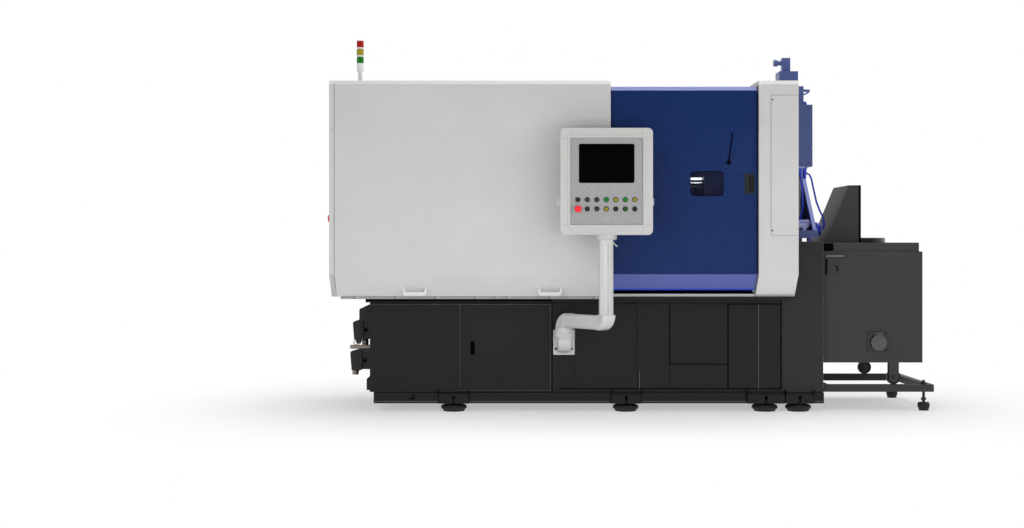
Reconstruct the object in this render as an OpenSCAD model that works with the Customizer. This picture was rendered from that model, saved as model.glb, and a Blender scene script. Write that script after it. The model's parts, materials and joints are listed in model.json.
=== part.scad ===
// Hot chamber die casting machine with its furnace on a rail frame at the right-hand end.
// X runs from the clamp end to the furnace end, Y from the operator's side to the back, Z up.
// Inside the modules X starts at the cover's left end and Y at the machine's centre line.

/* [Guard cover] */
// Length of the white cover over the clamp unit
cover_length = 1683; // [1500:1:1750]
// Height of the cover's top above the floor
cover_top = 2004; // [1900:1:2100]
// Depth of the cover from the operator's side to the back
cover_depth = 1440; // [1380:1:1500]
// Height where the front bends inwards
cover_bend = 843; // [810:1:900]
// How far the slope below the bend runs back
cover_slope = 144; // [100:1:170]
// Bevel along the top edges
cover_chamfer = 25; // [10:1:40]
// Sheet thickness of the covers
cover_sheet = 4; // [2:0.5:8]
// Width of the end panel's strip that wraps round to the front
end_wrap = 30; // [15:1:50]
// Thickness of the strip that the cover stands on
cover_rail_thickness = 15; // [8:1:20]
// Width of a grab handle on the slope
grab_width = 143; // [110:1:180]
// Height of a grab handle above the slope
grab_stand = 46; // [40:1:60]
// Width of a grab handle's strap
grab_strap = 26; // [18:1:32]
// Distances of the grab handles from the cover's left and right ends
grab_insets = [507, 360]; // [200:1:700]

/* [Column cover] */
// Width of the cover round the fixed platen
column_width = 237; // [200:1:280]
// Gap between the safety door and the column cover
column_gap = 6; // [5:0.5:12]
// Distance from the column access panel's left edge to the cover's left edge
column_panel_inset = 72; // [50:1:90]
// Thickness of the column access panel
column_panel_thickness = 3; // [2:0.5:6]

/* [Safety door] */
// Width of the door that shows when it is closed
door_width = 880; // [800:1:940]
// Overlap of the door behind the cover
door_overlap = 30; // [15:1:60]
// Distance from the cover's face back to the door's face
door_recess = 30; // [20:1:45]
// Thickness of the door's frame
door_thickness = 34; // [25:1:45]
// Height of the door's top
door_top = 1970; // [1880:1:1985]
// Height of the door's lower edge
door_bottom = 745; // [738:1:760]
// Window width
window_width = 197; // [150:1:260]
// Window height
window_height = 146; // [110:1:200]
// Corner radius of the window
window_radius = 20; // [8:1:35]
// Window centre's height
window_z = 1386; // [1300:1:1450]
// Window centre's distance from the door's right edge
window_x = 302; // [260:1:480]
// Window pane thickness
pane_thickness = 6; // [3:1:8]
// Recessed pull width
pull_width = 60; // [50:1:80]
// Recessed pull height
pull_height = 122; // [90:1:160]
// Travel of the door as it opens
door_travel = 800; // [600:10:850]

/* [Base] */
// Left end of the base
base_left = 246; // [230:1:300]
// How far the base reaches out to the right of the column cover
base_overhang = 196; // [184:1:224]
// Width of the base
base_width = 980; // [900:1:1020]
// Height of the plinth's underside
plinth_bottom = 50; // [46:1:60]
// Height of the plinth's top
plinth_top = 115; // [105:1:125]
// How far the plinth stands out from the panels
plinth_lip = 14; // [8:1:20]
// Height of the base's top face
base_top = 691; // [680:1:700]
// Thickness of the base's top plate
top_plate = 24; // [15:1:30]
// Thickness of the bolted panels on the base
base_panel_thickness = 4; // [2:0.5:6]
// Widths of the bolted panels on the base, from the pedestal leftwards
base_panel_widths = [131, 180, 358, 196]; // [100:1:400]
// Seam between the bolted panels
panel_seam = 3; // [2:0.5:6]
// How far the pedestal reaches in under the column cover
pedestal_inset = 67; // [46:1:86]
// Height of the pedestal
pedestal_top = 1040; // [1000:1:1050]

/* [Feet] */
// Diameter of a levelling foot
foot_diameter = 158; // [120:1:180]
// Height of a levelling foot's pad
foot_height = 40; // [30:1:44]
// Diameter of a levelling foot's stud
foot_stud = 24; // [16:1:30]
// Distance of the feet from the centre line
foot_y = 445; // [400:1:450]
// Distances of the feet: one from the base's left end, three from its right end
foot_places = [490, 1211, 357, 151]; // [100:1:1400]
// Diameter of a foundation bolt slot's round end
slot_diameter = 22; // [14:1:26]

/* [Hydraulic cabinet] */
// Left end of the cabinet
cabinet_left = 223; // [205:1:240]
// Right end of the cabinet
cabinet_right = 1336; // [1320:1:1338]
// Place of the cabinet's middle division
cabinet_middle = 779; // [700:1:850]
// Wall thickness round the compartment
cabinet_wall = 12; // [8:1:20]
// Thickness of the cabinet's door
hatch_thickness = 18; // [16:1:24]
// Depth of the compartment behind the door
cabinet_depth = 420; // [200:1:700]
// Hinge pin diameter
hinge_pin = 10; // [6:1:11]

/* [Clamp unit] */
// Tie bar diameter
tie_bar = 65; // [50:1:75]
// Distance between tie bar centres
tie_spacing = 380; // [340:1:420]
// Height of the machine's shot axis
shot_axis = 1222; // [1180:1:1260]
// Platen width
platen_width = 580; // [540:1:640]
// Platen thickness
platen_thickness = 130; // [90:1:160]
// Distance from the column cover's left edge to the fixed platen's left face
fixed_platen_inset = 275; // [250:1:300]
// Room for the die between the moving and the fixed platen
die_space = 364; // [300:1:460]
// Left face of the toggle platen
toggle_platen_x = 400; // [300:1:600]
// Bore that centres the die on the platen
locating_bore = 110; // [80:1:130]
// Diameter of the die's clamping bolt holes
die_bolt = 16; // [12:1:20]
// Distance between the die bolt holes across the machine
die_bolt_y = 200; // [180:1:220]
// Distance between the die bolt holes from bottom to top
die_bolt_z = 420; // [400:1:450]

/* [Control arm] */
// Gap between the cabinet and the wall bracket's plate
bracket_gap = 9.5; // [6:0.5:28]
// Width of the wall bracket's plate
bracket_width = 131; // [110:1:134]
// Height of the wall bracket's plate
bracket_height = 152; // [130:1:180]
// Height of the bracket's top, where the arm turns
swivel_z = 506; // [490:1:530]
// Distance of the arm's axis in front of the base
swivel_reach = 90; // [78:1:110]
// Diameter of the arm's turning flange
swivel_diameter = 128; // [110:1:130]
// Diameter of the swivel pin in the bracket
swivel_pin = 50; // [30:1:60]
// Arm length from axis to axis
arm_length = 428; // [400:1:460]
// Angle of the arm to the right of straight out
arm_angle = 32.7; // [25:0.1:36]
// Width of the square tube
tube_width = 82; // [70:1:90]
// Corner radius of the tube
tube_radius = 18; // [8:1:24]
// How much wider the bends are than the tube
bend_swell = 6; // [2:1:8]
// Radius of the bends' middle line
bend_radius = 48; // [46:1:60]
// Height of the horizontal tube's centre
arm_z = 562; // [555:1:580]
// Height of the coupling between the arm and the panel
coupling_height = 31; // [24:1:36]
// Diameter of the coupling
coupling_diameter = 128; // [116:1:134]
// Clearance in the swivels
swivel_gap = 0.3; // [0.2:0.1:0.5]

/* [Control panel] */
// Panel width
panel_width = 537; // [480:1:545]
// Panel height
panel_height = 621; // [560:1:680]
// Panel depth
panel_depth = 105; // [100:1:115]
// Height of the panel's lower edge
panel_bottom = 1077; // [1060:1:1100]
// Width of the frame round the front plate
panel_frame = 57; // [45:1:60]
// Corner radius of the housing
panel_radius = 28; // [15:1:40]
// Width of the raised rim round the front plate
rim_width = 14; // [8:1:20]
// Height of the raised rim
panel_rim = 4; // [2:0.5:8]
// Screen width
screen_width = 318; // [280:1:330]
// Screen height
screen_height = 223; // [200:1:230]
// Distance between the buttons
button_pitch = 55; // [48:0.5:56]
// Diameter of a button's ring
button_diameter = 29; // [22:0.5:32]
// Diameter of the emergency stop
stop_diameter = 40; // [35:1:44]
// Height of the emergency stop above the plate
stop_height = 30; // [22:1:36]

/* [Signal tower] */
// Place of the tower along the cover
tower_x = 155; // [100:1:300]
// Distance of the tower from the cover's front face
tower_inset = 330; // [200:1:500]
// Lens diameter
lens_diameter = 44; // [38:1:60]
// Lens height
lens_height = 38; // [30:1:45]
// Height of the tower's top above the cover
tower_height = 280; // [260:1:320]
// Stem diameter
stem_diameter = 26; // [18:1:30]

/* [End stop button] */
// Distance of the button from the cover's front face
end_stop_inset = 140; // [90:1:300]
// Height of the button above the floor
end_stop_z = 1180; // [1000:1:1400]

/* [Injection unit] */
// Distance of the injection axis from the column cover's right side
injection_reach = 109; // [100:1:112]
// Underside of the unit's base plate
injection_base = 1064; // [1060:1:1080]
// Thickness of the unit's base plate
injection_plate = 48; // [36:1:56]
// How far the unit's base plate stands out past the base
injection_overhang = 18; // [8:1:22]
// Depth of the unit
injection_depth = 360; // [320:1:420]
// Thickness of the unit's side plates
side_plate = 16; // [12:1:24]
// Underside of the cylinder block
cylinder_bottom = 1515; // [1480:1:1560]
// Height of the cylinder block
cylinder_height = 392; // [360:1:420]
// Width of the cylinder block
cylinder_width = 178; // [150:1:180]
// Piston rod diameter
piston_rod = 45; // [35:1:55]
// Diameter of the horizontal shift cylinder
shift_cylinder = 57; // [48:1:64]
// Diameter of the hydraulic pipes
pipe_diameter = 12; // [8:0.5:14]

/* [Furnace] */
// Gap between the base and the furnace
furnace_gap = 10; // [8:1:28]
// Length of the furnace
furnace_length = 608; // [560:1:620]
// Depth of the furnace
furnace_depth = 860; // [780:1:870]
// Underside of the furnace box
furnace_bottom = 295; // [285:1:310]
// Top of the furnace box
furnace_top = 979; // [940:1:990]
// Height of the furnace's lid
lid_height = 55; // [40:1:60]
// Outer diameter of the pot ring
pot_ring = 370; // [330:1:400]
// Distance of the pot's axis from the furnace's left side
pot_inset = 288; // [270:1:300]
// Bore of the pot
pot_bore = 300; // [240:1:310]
// Height of the pot ring above the lid
pot_ring_height = 29; // [15:1:40]
// Distance of the hood's foot from the furnace's left side
hood_inset = 44; // [44:1:60]
// Length of the hood's foot
hood_length = 212; // [190:1:230]
// How far the hood's left side leans over
hood_lean = 150; // [120:1:170]
// Height of the hood above the lid
hood_height = 360; // [300:1:400]
// Depth of the hood
hood_depth = 480; // [460:1:600]
// Sheet thickness of the hood
hood_sheet = 4; // [2:0.5:6]
// Width of the angle along the hood's open edge
hood_lip = 14; // [8:1:20]
// Diameter of the burner port
port_diameter = 105; // [80:1:115]

/* [Furnace rails] */
// Distance from the base to the rail frame's outer end
rail_length = 688; // [660:1:760]
// Height of the rails' top
rail_top = 160; // [155:1:170]
// Rail section
rail_section = 45; // [38:1:50]
// How far the rails stand out past the furnace's front and back
rail_overhang = 5; // [0:1:8]
// How far the rails' bay reaches into the pedestal
rail_bay = 162; // [150:1:200]
// Wheel diameter
wheel_diameter = 88; // [70:1:100]
// Wheel width
wheel_width = 24; // [18:1:28]
// Thickness of the plates that hold an axle
axle_plate = 7; // [5:0.5:10]
// Gap between a wheel and the plates beside it
wheel_gap = 5; // [5:0.5:8]
// Axle diameter
axle_diameter = 25; // [18:1:30]
// Distance of the outer axle from the rail frame's end
axle_inset = 245; // [220:1:260]
// Distance of the inner axle from the bay's end
inner_axle_inset = 85; // [80:1:110]

/* [Hidden] */
$fn = 48;

half_depth = cover_depth / 2;
base_half = base_width / 2;
cover_bottom = base_top + cover_rail_thickness;
column_left = cover_length + door_width + column_gap;
column_right = column_left + column_width;
base_right = column_right + base_overhang;
pedestal_left = column_right - pedestal_inset;
rail_end = base_right + rail_length;
fit_gap = 0.3;
stop_reach = 22;
bracket_x = cabinet_right + bracket_gap + bracket_width / 2;
left = -(rail_end + stop_reach) / 2 + stop_reach;
tube_y = -base_half - swivel_reach - arm_length * cos(arm_angle);
tube_x = bracket_x + arm_length * sin(arm_angle);
swivel_y = -base_half - swivel_reach;
panel_front = tube_y - panel_depth + 45;
front_reach = -panel_front + stop_height;
axis_y = (front_reach - half_depth - column_panel_thickness) / 2;
panel_face = base_half - plinth_lip;
door_face = half_depth - door_recess;
door_left = cover_length - door_overlap;
door_right = cover_length + door_width;
slope_rate = cover_slope / (cover_bend - cover_bottom);
foot_x = [base_left + foot_places[0], for (i = [1:3]) base_right - foot_places[i]];
foot_span = [184, 181, 229, 169];
fixed_platen_x = column_left - fixed_platen_inset;
moving_platen_x = fixed_platen_x - die_space - platen_thickness;
injection_x = column_right + injection_reach;
injection_right = base_right + injection_overhang;
furnace_left = base_right + furnace_gap;
furnace_right = furnace_left + furnace_length;
pot_x = furnace_left + pot_inset;
lid_top = furnace_top + lid_height;
rail_width = furnace_depth + 2 * rail_overhang;
bay_left = base_right - rail_bay;
axle_x = rail_end - axle_inset;
inner_axle_x = bay_left + inner_axle_inset;
wheel_y = furnace_depth / 2 - axle_plate - wheel_gap - wheel_width / 2;
axle_z = rail_top + fit_gap + wheel_diameter / 2;
cylinder_top = cylinder_bottom + cylinder_height;
hatch_gap = 7;
door_rail_top = cover_bottom + 16;
hanger_rail_top = door_top - 72;
hanger_rail_gap = 7;
hinge_x = cabinet_right - 9;
hinge_y = -base_half + hatch_thickness / 2;
hanger_inset = 90;
roller_radius = 18;
stop_gap = 6;
screen_z = panel_bottom + panel_height - 206;
tower_y = -half_depth + tower_inset;
tower_pitch = 49;
tower_base = 93;
pipe_sides = 10;
elbow_width = tube_width + bend_swell;
bracket_tube_z = swivel_z - 50 - bend_radius;
bracket_seam = 1.5;
guide_rod = 20;
guide_y = 66;
web_y = 32;
strut_depth = 38;
rod_coupling = 56;
guide_shift = 13;
rod_inset = 172;
rod_z = 1513;

// Moves from machine places to the part's own frame, whose origin is the middle of its footprint
module machine() {
    translate([left, axis_y, 0])
        children();
}

module box(x, y, z) {
    translate([x[0], y[0], z[0]])
        cube([x[1] - x[0], y[1] - y[0], z[1] - z[0]]);
}

// The same piece at the front and at the back
module both_sides() {
    children();
    mirror([0, 1, 0])
        children();
}

// Outline in Y and Z turned upright and drawn out along X
module along_x(x, length) {
    translate([x, 0, 0])
        rotate([90, 0, 90])
            linear_extrude(length)
                children();
}

// Half outline of the covers: face, bevelled top edge and slope under the bend
function cover_half(face, top, bottom) = [
    [0, top],
    [face - cover_chamfer, top],
    [face, top - cover_chamfer],
    [face, cover_bend],
    [face - slope_rate * (cover_bend - bottom), bottom],
    [0, bottom]
];

module cover_outline(face, top, bottom) {
    points = cover_half(face, top, bottom);
    polygon(points);
    mirror([1, 0])
        polygon(points);
}

module cover_shell(face, top, bottom, wall) {
    difference() {
        cover_outline(face, top, bottom);
        difference() {
            cover_outline(face - wall, top - wall, bottom - 1);
            translate([-face, bottom - 3])
                square([2 * face, 1]);
        }
    }
}

module rounded_square(size, radius) {
    x = size[0] / 2 - radius;
    y = size[1] / 2 - radius;
    square([size[0], 2 * y], center = true);
    square([2 * x, size[1]], center = true);
    for (sx = [-x, x], sy = [-y, y])
        translate([sx, sy])
            circle(radius);
}

module rounded_block(size, radius) {
    linear_extrude(size[2])
        rounded_square([size[0], size[1]], radius);
}

// Upright plate in the X-Z plane with rounded corners, its front face at y
module upright_plate(x, y, z, width, height, thickness, radius) {
    translate([x, y + thickness, z])
        rotate([90, 0, 0])
            rounded_block([width, height, thickness], radius);
}

// Keyhole slot for a foundation bolt, cut from the front
module keyhole(x, z) {
    translate([x, -base_half + 40, z])
        rotate([90, 0, 0])
            cylinder(d = slot_diameter, h = 120);
    translate([x - slot_diameter / 4, -base_half - 80, plinth_bottom - 1])
        cube([slot_diameter / 2, 120, z - plinth_bottom + 1]);
}

module base_frame() {
    bracket_out = 22;
    vent = 6;
    color("#2b2c2e") machine() difference() {
        union() {
            box([base_left, base_right], [-base_half, base_half], [plinth_bottom, plinth_top]);
            box([cabinet_right + 5, pedestal_left], [-panel_face, panel_face], [plinth_top, base_top]);
            box([base_left - 49, pedestal_left], [-base_half, base_half], [base_top - top_plate, base_top]);
            box([cover_length, column_right], [-base_half - 110, base_half + 110], [base_top, cover_bottom]);
            both_sides()
                for (i = [0:3])
                    box([foot_x[i] - foot_span[i] / 2, foot_x[i] + foot_span[i] / 2],
                        [-base_half - bracket_out, -base_half + 1], [plinth_bottom, plinth_top - 8]);
        }
        both_sides()
            for (x = foot_x)
                keyhole(x, plinth_bottom + 38);
        both_sides()
            sling_notch(base_left + 216);
        for (x = [bracket_x - 66, bracket_x + 353])
            box([x, x + 96], [-base_half - 1, -panel_face + 16], [base_top - top_plate - vent, base_top - top_plate]);
        box([pedestal_left, column_right + 1], [-panel_face, panel_face], [plinth_top, cover_bottom + 1]);
    }
}

// Slanting notch in the plinth for a lifting sling
module sling_notch(x) {
    depth = 30;
    translate([x, -base_half + depth, plinth_bottom + 22])
        rotate([90, 0, 0])
            linear_extrude(depth + 1)
                polygon([[0, 0], [22, 35], [38, 35], [37, 0]]);
}

// Right edge of a bolted panel, counted from the pedestal leftwards
function panel_edge(i) = i == 0 ? pedestal_left - 4 : panel_left(i - 1) - panel_seam;

// Left edge of that panel: the last one reaches to the arm's bracket
function panel_left(i) = i < len(base_panel_widths) ? panel_edge(i) - base_panel_widths[i]
    : bracket_x + bracket_width / 2 + bracket_seam;

// Bolted sheet panels on the front and back of the base, one of them split by a removable hatch
module base_panels() {
    hatch = 2;
    low = plinth_top + 22;
    high = base_top - top_plate - 7;
    split = 289;
    face = -panel_face - base_panel_thickness;
    color("#303133") machine() both_sides()
        for (i = [0:len(base_panel_widths)]) {
            span = [panel_left(i), panel_edge(i)];
            box(span, [face, -panel_face], [low, i == hatch ? split - panel_seam : high]);
            if (i == hatch)
                box(span, [face - base_panel_thickness / 2, -panel_face], [split, high]);
        }
}

// Two cheeks and a foot that carry the injection unit over the gooseneck's passage
module end_pedestal() {
    passage = 180;
    bay = rail_width / 2 + 11;
    bay_top = furnace_bottom + 45;
    color("#2b2c2e") machine() difference() {
        box([pedestal_left, base_right - 2], [-panel_face, panel_face], [plinth_top, pedestal_top]);
        box([pedestal_left - 1, base_right], [-passage, passage], [760, pedestal_top + 1]);
        box([bay_left, base_right], [-bay, bay], [plinth_top - 1, bay_top]);
    }
}

// Turned profile of a pad: a base disc, a bulging dish and the stud
module levelling_foot(radius, height, top, stud) {
    rotate_extrude()
        polygon([[0, 0], [radius * 0.8, 0], [radius * 0.84, height * 0.1], [radius * 0.84, height * 0.25],
            [radius * 0.92, height * 0.32], [radius, height * 0.5], [radius, height * 0.72],
            [radius * 0.95, height * 0.9], [radius * 0.84, height], [stud / 2, height],
            [stud / 2, top], [0, top]]);
}

module levelling_feet() {
    color("#1d1d1f") machine() {
        both_sides()
            for (x = foot_x)
                translate([x, -foot_y, 0])
                    levelling_foot(foot_diameter / 2, foot_height, plinth_bottom, foot_stud);
        both_sides()
            translate([rail_end - 59, -rail_width / 2 + rail_section / 2, 0]) {
                levelling_foot(37, 50, rail_top - rail_section, 17);
                for (z = [64, rail_top])
                    translate([0, 0, z])
                        cylinder(d = 34, h = 14, $fn = 6);
                translate([0, 0, rail_top + 13])
                    cylinder(d = 17, h = 14);
            }
    }
}

module hydraulic_cabinet() {
    front = -base_half + hatch_thickness + hatch_gap;
    low = plinth_top;
    high = base_top - top_plate;
    color("#2a2b2d") machine() {
        difference() {
            union() {
                box([cabinet_left, cabinet_right], [front, panel_face], [low, high]);
                box([cabinet_left, cabinet_middle - 2], [-base_half, front + 1], [low + 4, high - 4]);
            }
            box([cabinet_middle + cabinet_wall, cabinet_right - cabinet_wall],
                [front - 1, front + cabinet_depth], [low + cabinet_wall, high - cabinet_wall]);
            box([-1 + cabinet_left, base_left + 12], [-panel_face - 30, panel_face + 1], [low - 1, low + 4]);
        }
        for (z = [low + 1, high - 11])
            box([hinge_x - 10, cabinet_right], [hinge_y - 8, front], [z, z + 10]);
        for (z = [low + 11, high - 41])
            translate([hinge_x, hinge_y, z])
                cylinder(d = hinge_pin, h = 30);
    }
}

module hydraulic_door() {
    low = plinth_top + 11 + fit_gap;
    high = base_top - top_plate - 11 - fit_gap;
    color("#2a2b2d") machine() difference() {
        box([cabinet_middle + 2, cabinet_right - 4], [-base_half, -base_half + hatch_thickness], [low, high]);
        translate([hinge_x, hinge_y, low - 1])
            cylinder(d = hinge_pin + 2 * fit_gap, h = high - low + 2);
        box([cabinet_middle + 60, cabinet_middle + 86], [-base_half - 1, -base_half + 10], [347, 431]);
    }
}

// Outline in X and Z drawn out across the machine, centred on y
module across(y, width) {
    translate([0, y + width / 2, 0])
        rotate([90, 0, 0])
            linear_extrude(width)
                children();
}

// Terminal box, two plug hoods in their housings, a cable clamp bar and a small box below
module end_connectors() {
    face = cabinet_left;
    y = -panel_face + 150;
    color("#18191b") machine() {
        across(y, 130)
            polygon([[face, 553], [face, 652], [face - 25, 646], [face - 70, 624], [face - 74, 618], [face - 74, 553]]);
        plug_hood(y, 437, 121, 116);
        plug_hood(y, 250, 124, 132);
        across(y, 46)
            polygon([[face, 374.5], [face, 396], [face - 128, 396], [face - 136, 390], [face - 134, 378], [face - 126, 374.5]]);
        translate([face - 42, y, 395])
            cylinder(d = 40, h = 43);
        across(y, 100)
            polygon([[face, 121], [face, 206], [face - 12, 206], [face - 30, 190], [face - 30, 121]]);
    }
}

// Housing on the wall with a hood latched to it and the cable gland under the hood
module plug_hood(y, low, height, reach) {
    face = cabinet_left;
    housing = 58;
    latch = 16;
    across(y, 96)
        polygon([[face, low], [face, low + height], [face - housing, low + height], [face - housing, low]]);
    across(y, 88)
        polygon([[face - housing - 4, low - 6], [face - housing - 4, low + height], [face - housing - 14, low + height],
            [face - reach + 6, low + height - 14], [face - reach, low + height - 22], [face - reach + 8, low - 6]]);
    across(y, 82)
        square_at([face - housing - 6, low + 8], [10, height - 20]);
    across(y, 112)
        translate([face - housing / 2 - 6, low + height / 2])
            circle(d = latch);
    for (side = [-1, 1])
        across(y + side * 52, 8)
            square_at([face - housing - 20, low + height / 2 - 6], [housing - 6, 12]);
    translate([face - reach + 32, y, low - 5])
        rotate([180, 0, 0]) {
            cylinder(d = 40, h = 14, $fn = 6);
            translate([0, 0, 13])
                cylinder(d1 = 34, d2 = 26, h = 14);
        }
}

module square_at(corner, size) {
    translate(corner)
        square(size);
}

module end_stop_button() {
    color("#c81e1e") machine() translate([0, -half_depth + end_stop_inset, end_stop_z])
        rotate([0, -90, 0]) {
            cylinder(d = 30, h = 8);
            cylinder(d = 18, h = 14);
            translate([0, 0, 14])
                cylinder(d = 40, h = stop_reach - 14);
        }
}

module guard_front() {
    lip = 24;
    color("#d6d7d5") machine() along_x(end_wrap, cover_length - end_wrap)
        intersection() {
            cover_shell(half_depth, cover_top, cover_bottom, cover_sheet);
            translate([-half_depth - 1, 0])
                square([cover_chamfer + lip + cover_slope, cover_top + 1]);
        }
}

// Pan-shaped end panel that wraps round the corner
module guard_end() {
    color("#cfd0ce") machine() difference() {
        along_x(0, end_wrap)
            cover_outline(half_depth, cover_top, cover_bottom);
        along_x(cover_sheet, end_wrap)
            cover_outline(half_depth - cover_sheet, cover_top - cover_sheet, cover_bottom + cover_sheet);
    }
}

// Roof and back of the white cover, folded from one sheet
module guard_rear() {
    lip = 24;
    start = -half_depth - 1 + cover_chamfer + lip + cover_slope;
    color("#d2d3d1") machine() along_x(end_wrap, cover_length - end_wrap)
        intersection() {
            cover_shell(half_depth, cover_top, cover_bottom, cover_sheet);
            translate([start, 0])
                square([cover_depth, cover_top + 1]);
        }
}

module cover_rail() {
    outer = half_depth - cover_slope + 6;
    color("#9a9b9c") machine() both_sides()
        box([end_wrap + 24, cover_length - 1], [-outer, -base_half + 60], [base_top, cover_bottom]);
}

// Two bridge handles on the slope under the bend
module grab_handles() {
    tilt = atan2(cover_slope, cover_bend - cover_bottom);
    middle = (cover_bend + cover_bottom) / 2 - 24;
    y = -half_depth + slope_rate * (cover_bend - middle);
    color("#e2e2e0") machine()
        for (x = [grab_insets[0], cover_length - grab_insets[1]])
            translate([x, y, middle])
                rotate([90 + tilt, 0, 0])
                    grab_bar();
}

// Strap handle drawn in its own plane: two legs, rounded shoulders and the grip between them
module grab_bar() {
    legs = 13;
    rotate([90, 0, 0])
        translate([0, 0, -grab_strap / 2])
            linear_extrude(grab_strap)
                difference() {
                    grab_outline(grab_width, grab_stand, 20);
                    grab_outline(grab_width - 2 * legs, grab_stand - legs, 12);
                }
}

// Upper half of a rounded square that stands on the X axis
module grab_outline(width, height, radius) {
    intersection() {
        rounded_square([width, 2 * height], radius);
        translate([-width / 2, 0])
            square([width, height]);
    }
}

// Arch of folded sheet with a flange turned inwards along its left edge
module column_cover() {
    flange = 70;
    color("#d8d9d7") machine() {
        along_x(column_left, column_width)
            cover_shell(half_depth, cover_top, cover_bottom, cover_sheet);
        along_x(column_left, cover_sheet)
            cover_shell(half_depth, cover_top, cover_bottom, flange);
    }
}

module column_access_panel() {
    low = 1075;
    high = cover_top - 86;
    color("#d4d5d3") machine() both_sides()
        box([column_left + column_panel_inset, column_right - 1],
            [-half_depth - column_panel_thickness, -half_depth], [low, high]);
}

// Closed half outline of the door's sheet, with its bevelled top edge and lower slope
function door_half(face, bottom) = [
    [face - cover_chamfer, door_top],
    [face, door_top - cover_chamfer],
    [face, cover_bend],
    [face - slope_rate * (cover_bend - bottom), bottom]
];

module door_section(thickness, bottom) {
    outer = door_half(door_face, bottom);
    inner = [for (p = outer) [p[0] - thickness, p[1]]];
    mirror([1, 0])
        polygon(concat(outer, [for (i = [3:-1:0]) inner[i]]));
}

module safety_door() {
    rim = 36;
    window_at = door_right - window_x;
    color("#24407c") machine() {
        difference() {
            along_x(door_left, door_right - door_left)
                door_section(door_thickness, door_bottom);
            box([door_left + rim, window_at - window_width / 2 - rim], [-door_face + cover_sheet, 0],
                [cover_bend + rim, door_top - cover_chamfer - rim]);
            box([window_at + window_width / 2 + rim, door_right - 2 * rim - pull_width], [-door_face + cover_sheet, 0],
                [cover_bend + rim, door_top - cover_chamfer - rim]);
            upright_plate(window_at, -door_face - 1, window_z, window_width, window_height,
                door_thickness + 2, window_radius);
            upright_plate(door_right - 46, -door_face - 1, 1386, pull_width, pull_height, 21, 8);
        }
        for (x = [door_left + hanger_inset, door_right - hanger_inset])
            hanger_roller(x, roller_radius);
    }
}

// Roller behind the door that runs on top of the upper rail
module hanger_roller(x, radius) {
    translate([x, -door_face + door_thickness - 1, hanger_rail_top + fit_gap + radius])
        rotate([-90, 0, 0]) {
            cylinder(r = radius / 2, h = hanger_rail_gap + 2);
            translate([0, 0, hanger_rail_gap + 1])
                cylinder(r = radius, h = 24);
        }
}

module door_window() {
    color("#7f8f9d", 0.5) machine()
        upright_plate(door_right - window_x, -door_face + 14, window_z, window_width - 2 * fit_gap,
            window_height - 2 * fit_gap, pane_thickness, window_radius - fit_gap);
}

module door_pull() {
    color("#3b3d42") machine() difference() {
        upright_plate(door_right - 46, -door_face, 1386, pull_width - 2 * fit_gap,
            pull_height - 2 * fit_gap, 19, 8);
        upright_plate(door_right - 46 + 12, -door_face - 1, 1386, 22, pull_height - 24, 15, 6);
    }
}

// Thin pivoting interlock rod on the door's face
module door_rod() {
    color("#1c1c1e") machine() {
        translate([door_right - rod_inset, -door_face, rod_z])
            rotate([90, 0, 0])
                cylinder(d = 24, h = 10);
        translate([door_right - rod_inset, -door_face - 5, rod_z])
            rotate([0, 7.5, 0])
                translate([0, 0, 8])
                    cylinder(d = 7, h = 174);
    }
}

// Fixed blue guard at the back of the die space
module rear_guard() {
    color("#1f3870") machine() {
        along_x(cover_length, column_left - cover_length)
            mirror([1, 0])
                door_section(door_thickness, door_rail_top);
    }
}

// Guide rails along the sill and the rails near the top that carry the door and the rear guard
module door_rails() {
    sill_y = half_depth - cover_slope - cover_sheet - 4;
    inner = -door_face + door_thickness;
    stop_x = door_left + hanger_inset - door_travel - roller_radius - stop_gap;
    color("#dcdcda") machine() {
        both_sides()
            box([end_wrap + 24, column_left], [-sill_y, -sill_y + 28], [cover_bottom, door_rail_top]);
        box([cover_sheet, column_left], [inner + hanger_rail_gap, inner + hanger_rail_gap + 30],
            [hanger_rail_top - 60, hanger_rail_top]);
        box([cover_sheet, column_left], [-inner - 30, -inner], [hanger_rail_top - 60, hanger_rail_top]);
        box([stop_x - 20, stop_x], [inner + hanger_rail_gap, inner + hanger_rail_gap + 26],
            [hanger_rail_top, hanger_rail_top + 2 * roller_radius]);
    }
}

module tie_bars() {
    h = tie_spacing / 2;
    color("#c9ccd0") machine()
        for (y = [-h, h], z = [-h, h])
            translate([toggle_platen_x - 90, y, shot_axis + z])
                rotate([0, 90, 0])
                    cylinder(d = tie_bar, h = fixed_platen_x + platen_thickness + 90 - toggle_platen_x + 90);
}

// Platen with four tie bar bores and a centre bore, standing on the base
module platen(x, drilled) {
    h = tie_spacing / 2;
    w = platen_width / 2;
    difference() {
        union() {
            along_x(x, platen_thickness)
                translate([0, shot_axis])
                    rounded_square([platen_width, platen_width], 40);
            both_sides()
                box([x, x + platen_thickness], [-w, -w + 110], [cover_bottom, shot_axis]);
        }
        for (y = [-h, h], z = [-h, h])
            translate([x - 1, y, shot_axis + z])
                rotate([0, 90, 0])
                    cylinder(d = tie_bar + 2 * fit_gap, h = platen_thickness + 2);
        translate([x - 1, 0, shot_axis])
            rotate([0, 90, 0])
                cylinder(d = locating_bore, h = platen_thickness + 2);
        if (drilled)
            for (y = [-die_bolt_y / 2, die_bolt_y / 2], z = [-die_bolt_z / 2, die_bolt_z / 2])
                translate([x - 1, y, shot_axis + z])
                    rotate([0, 90, 0])
                        cylinder(d = die_bolt, h = platen_thickness + 2);
    }
}

module fixed_platen() {
    color("#33417a") machine() platen(fixed_platen_x, true);
}

module clamp_platens() {
    color("#33417a") machine() {
        platen(moving_platen_x, true);
        platen(toggle_platen_x, false);
    }
}

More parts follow.
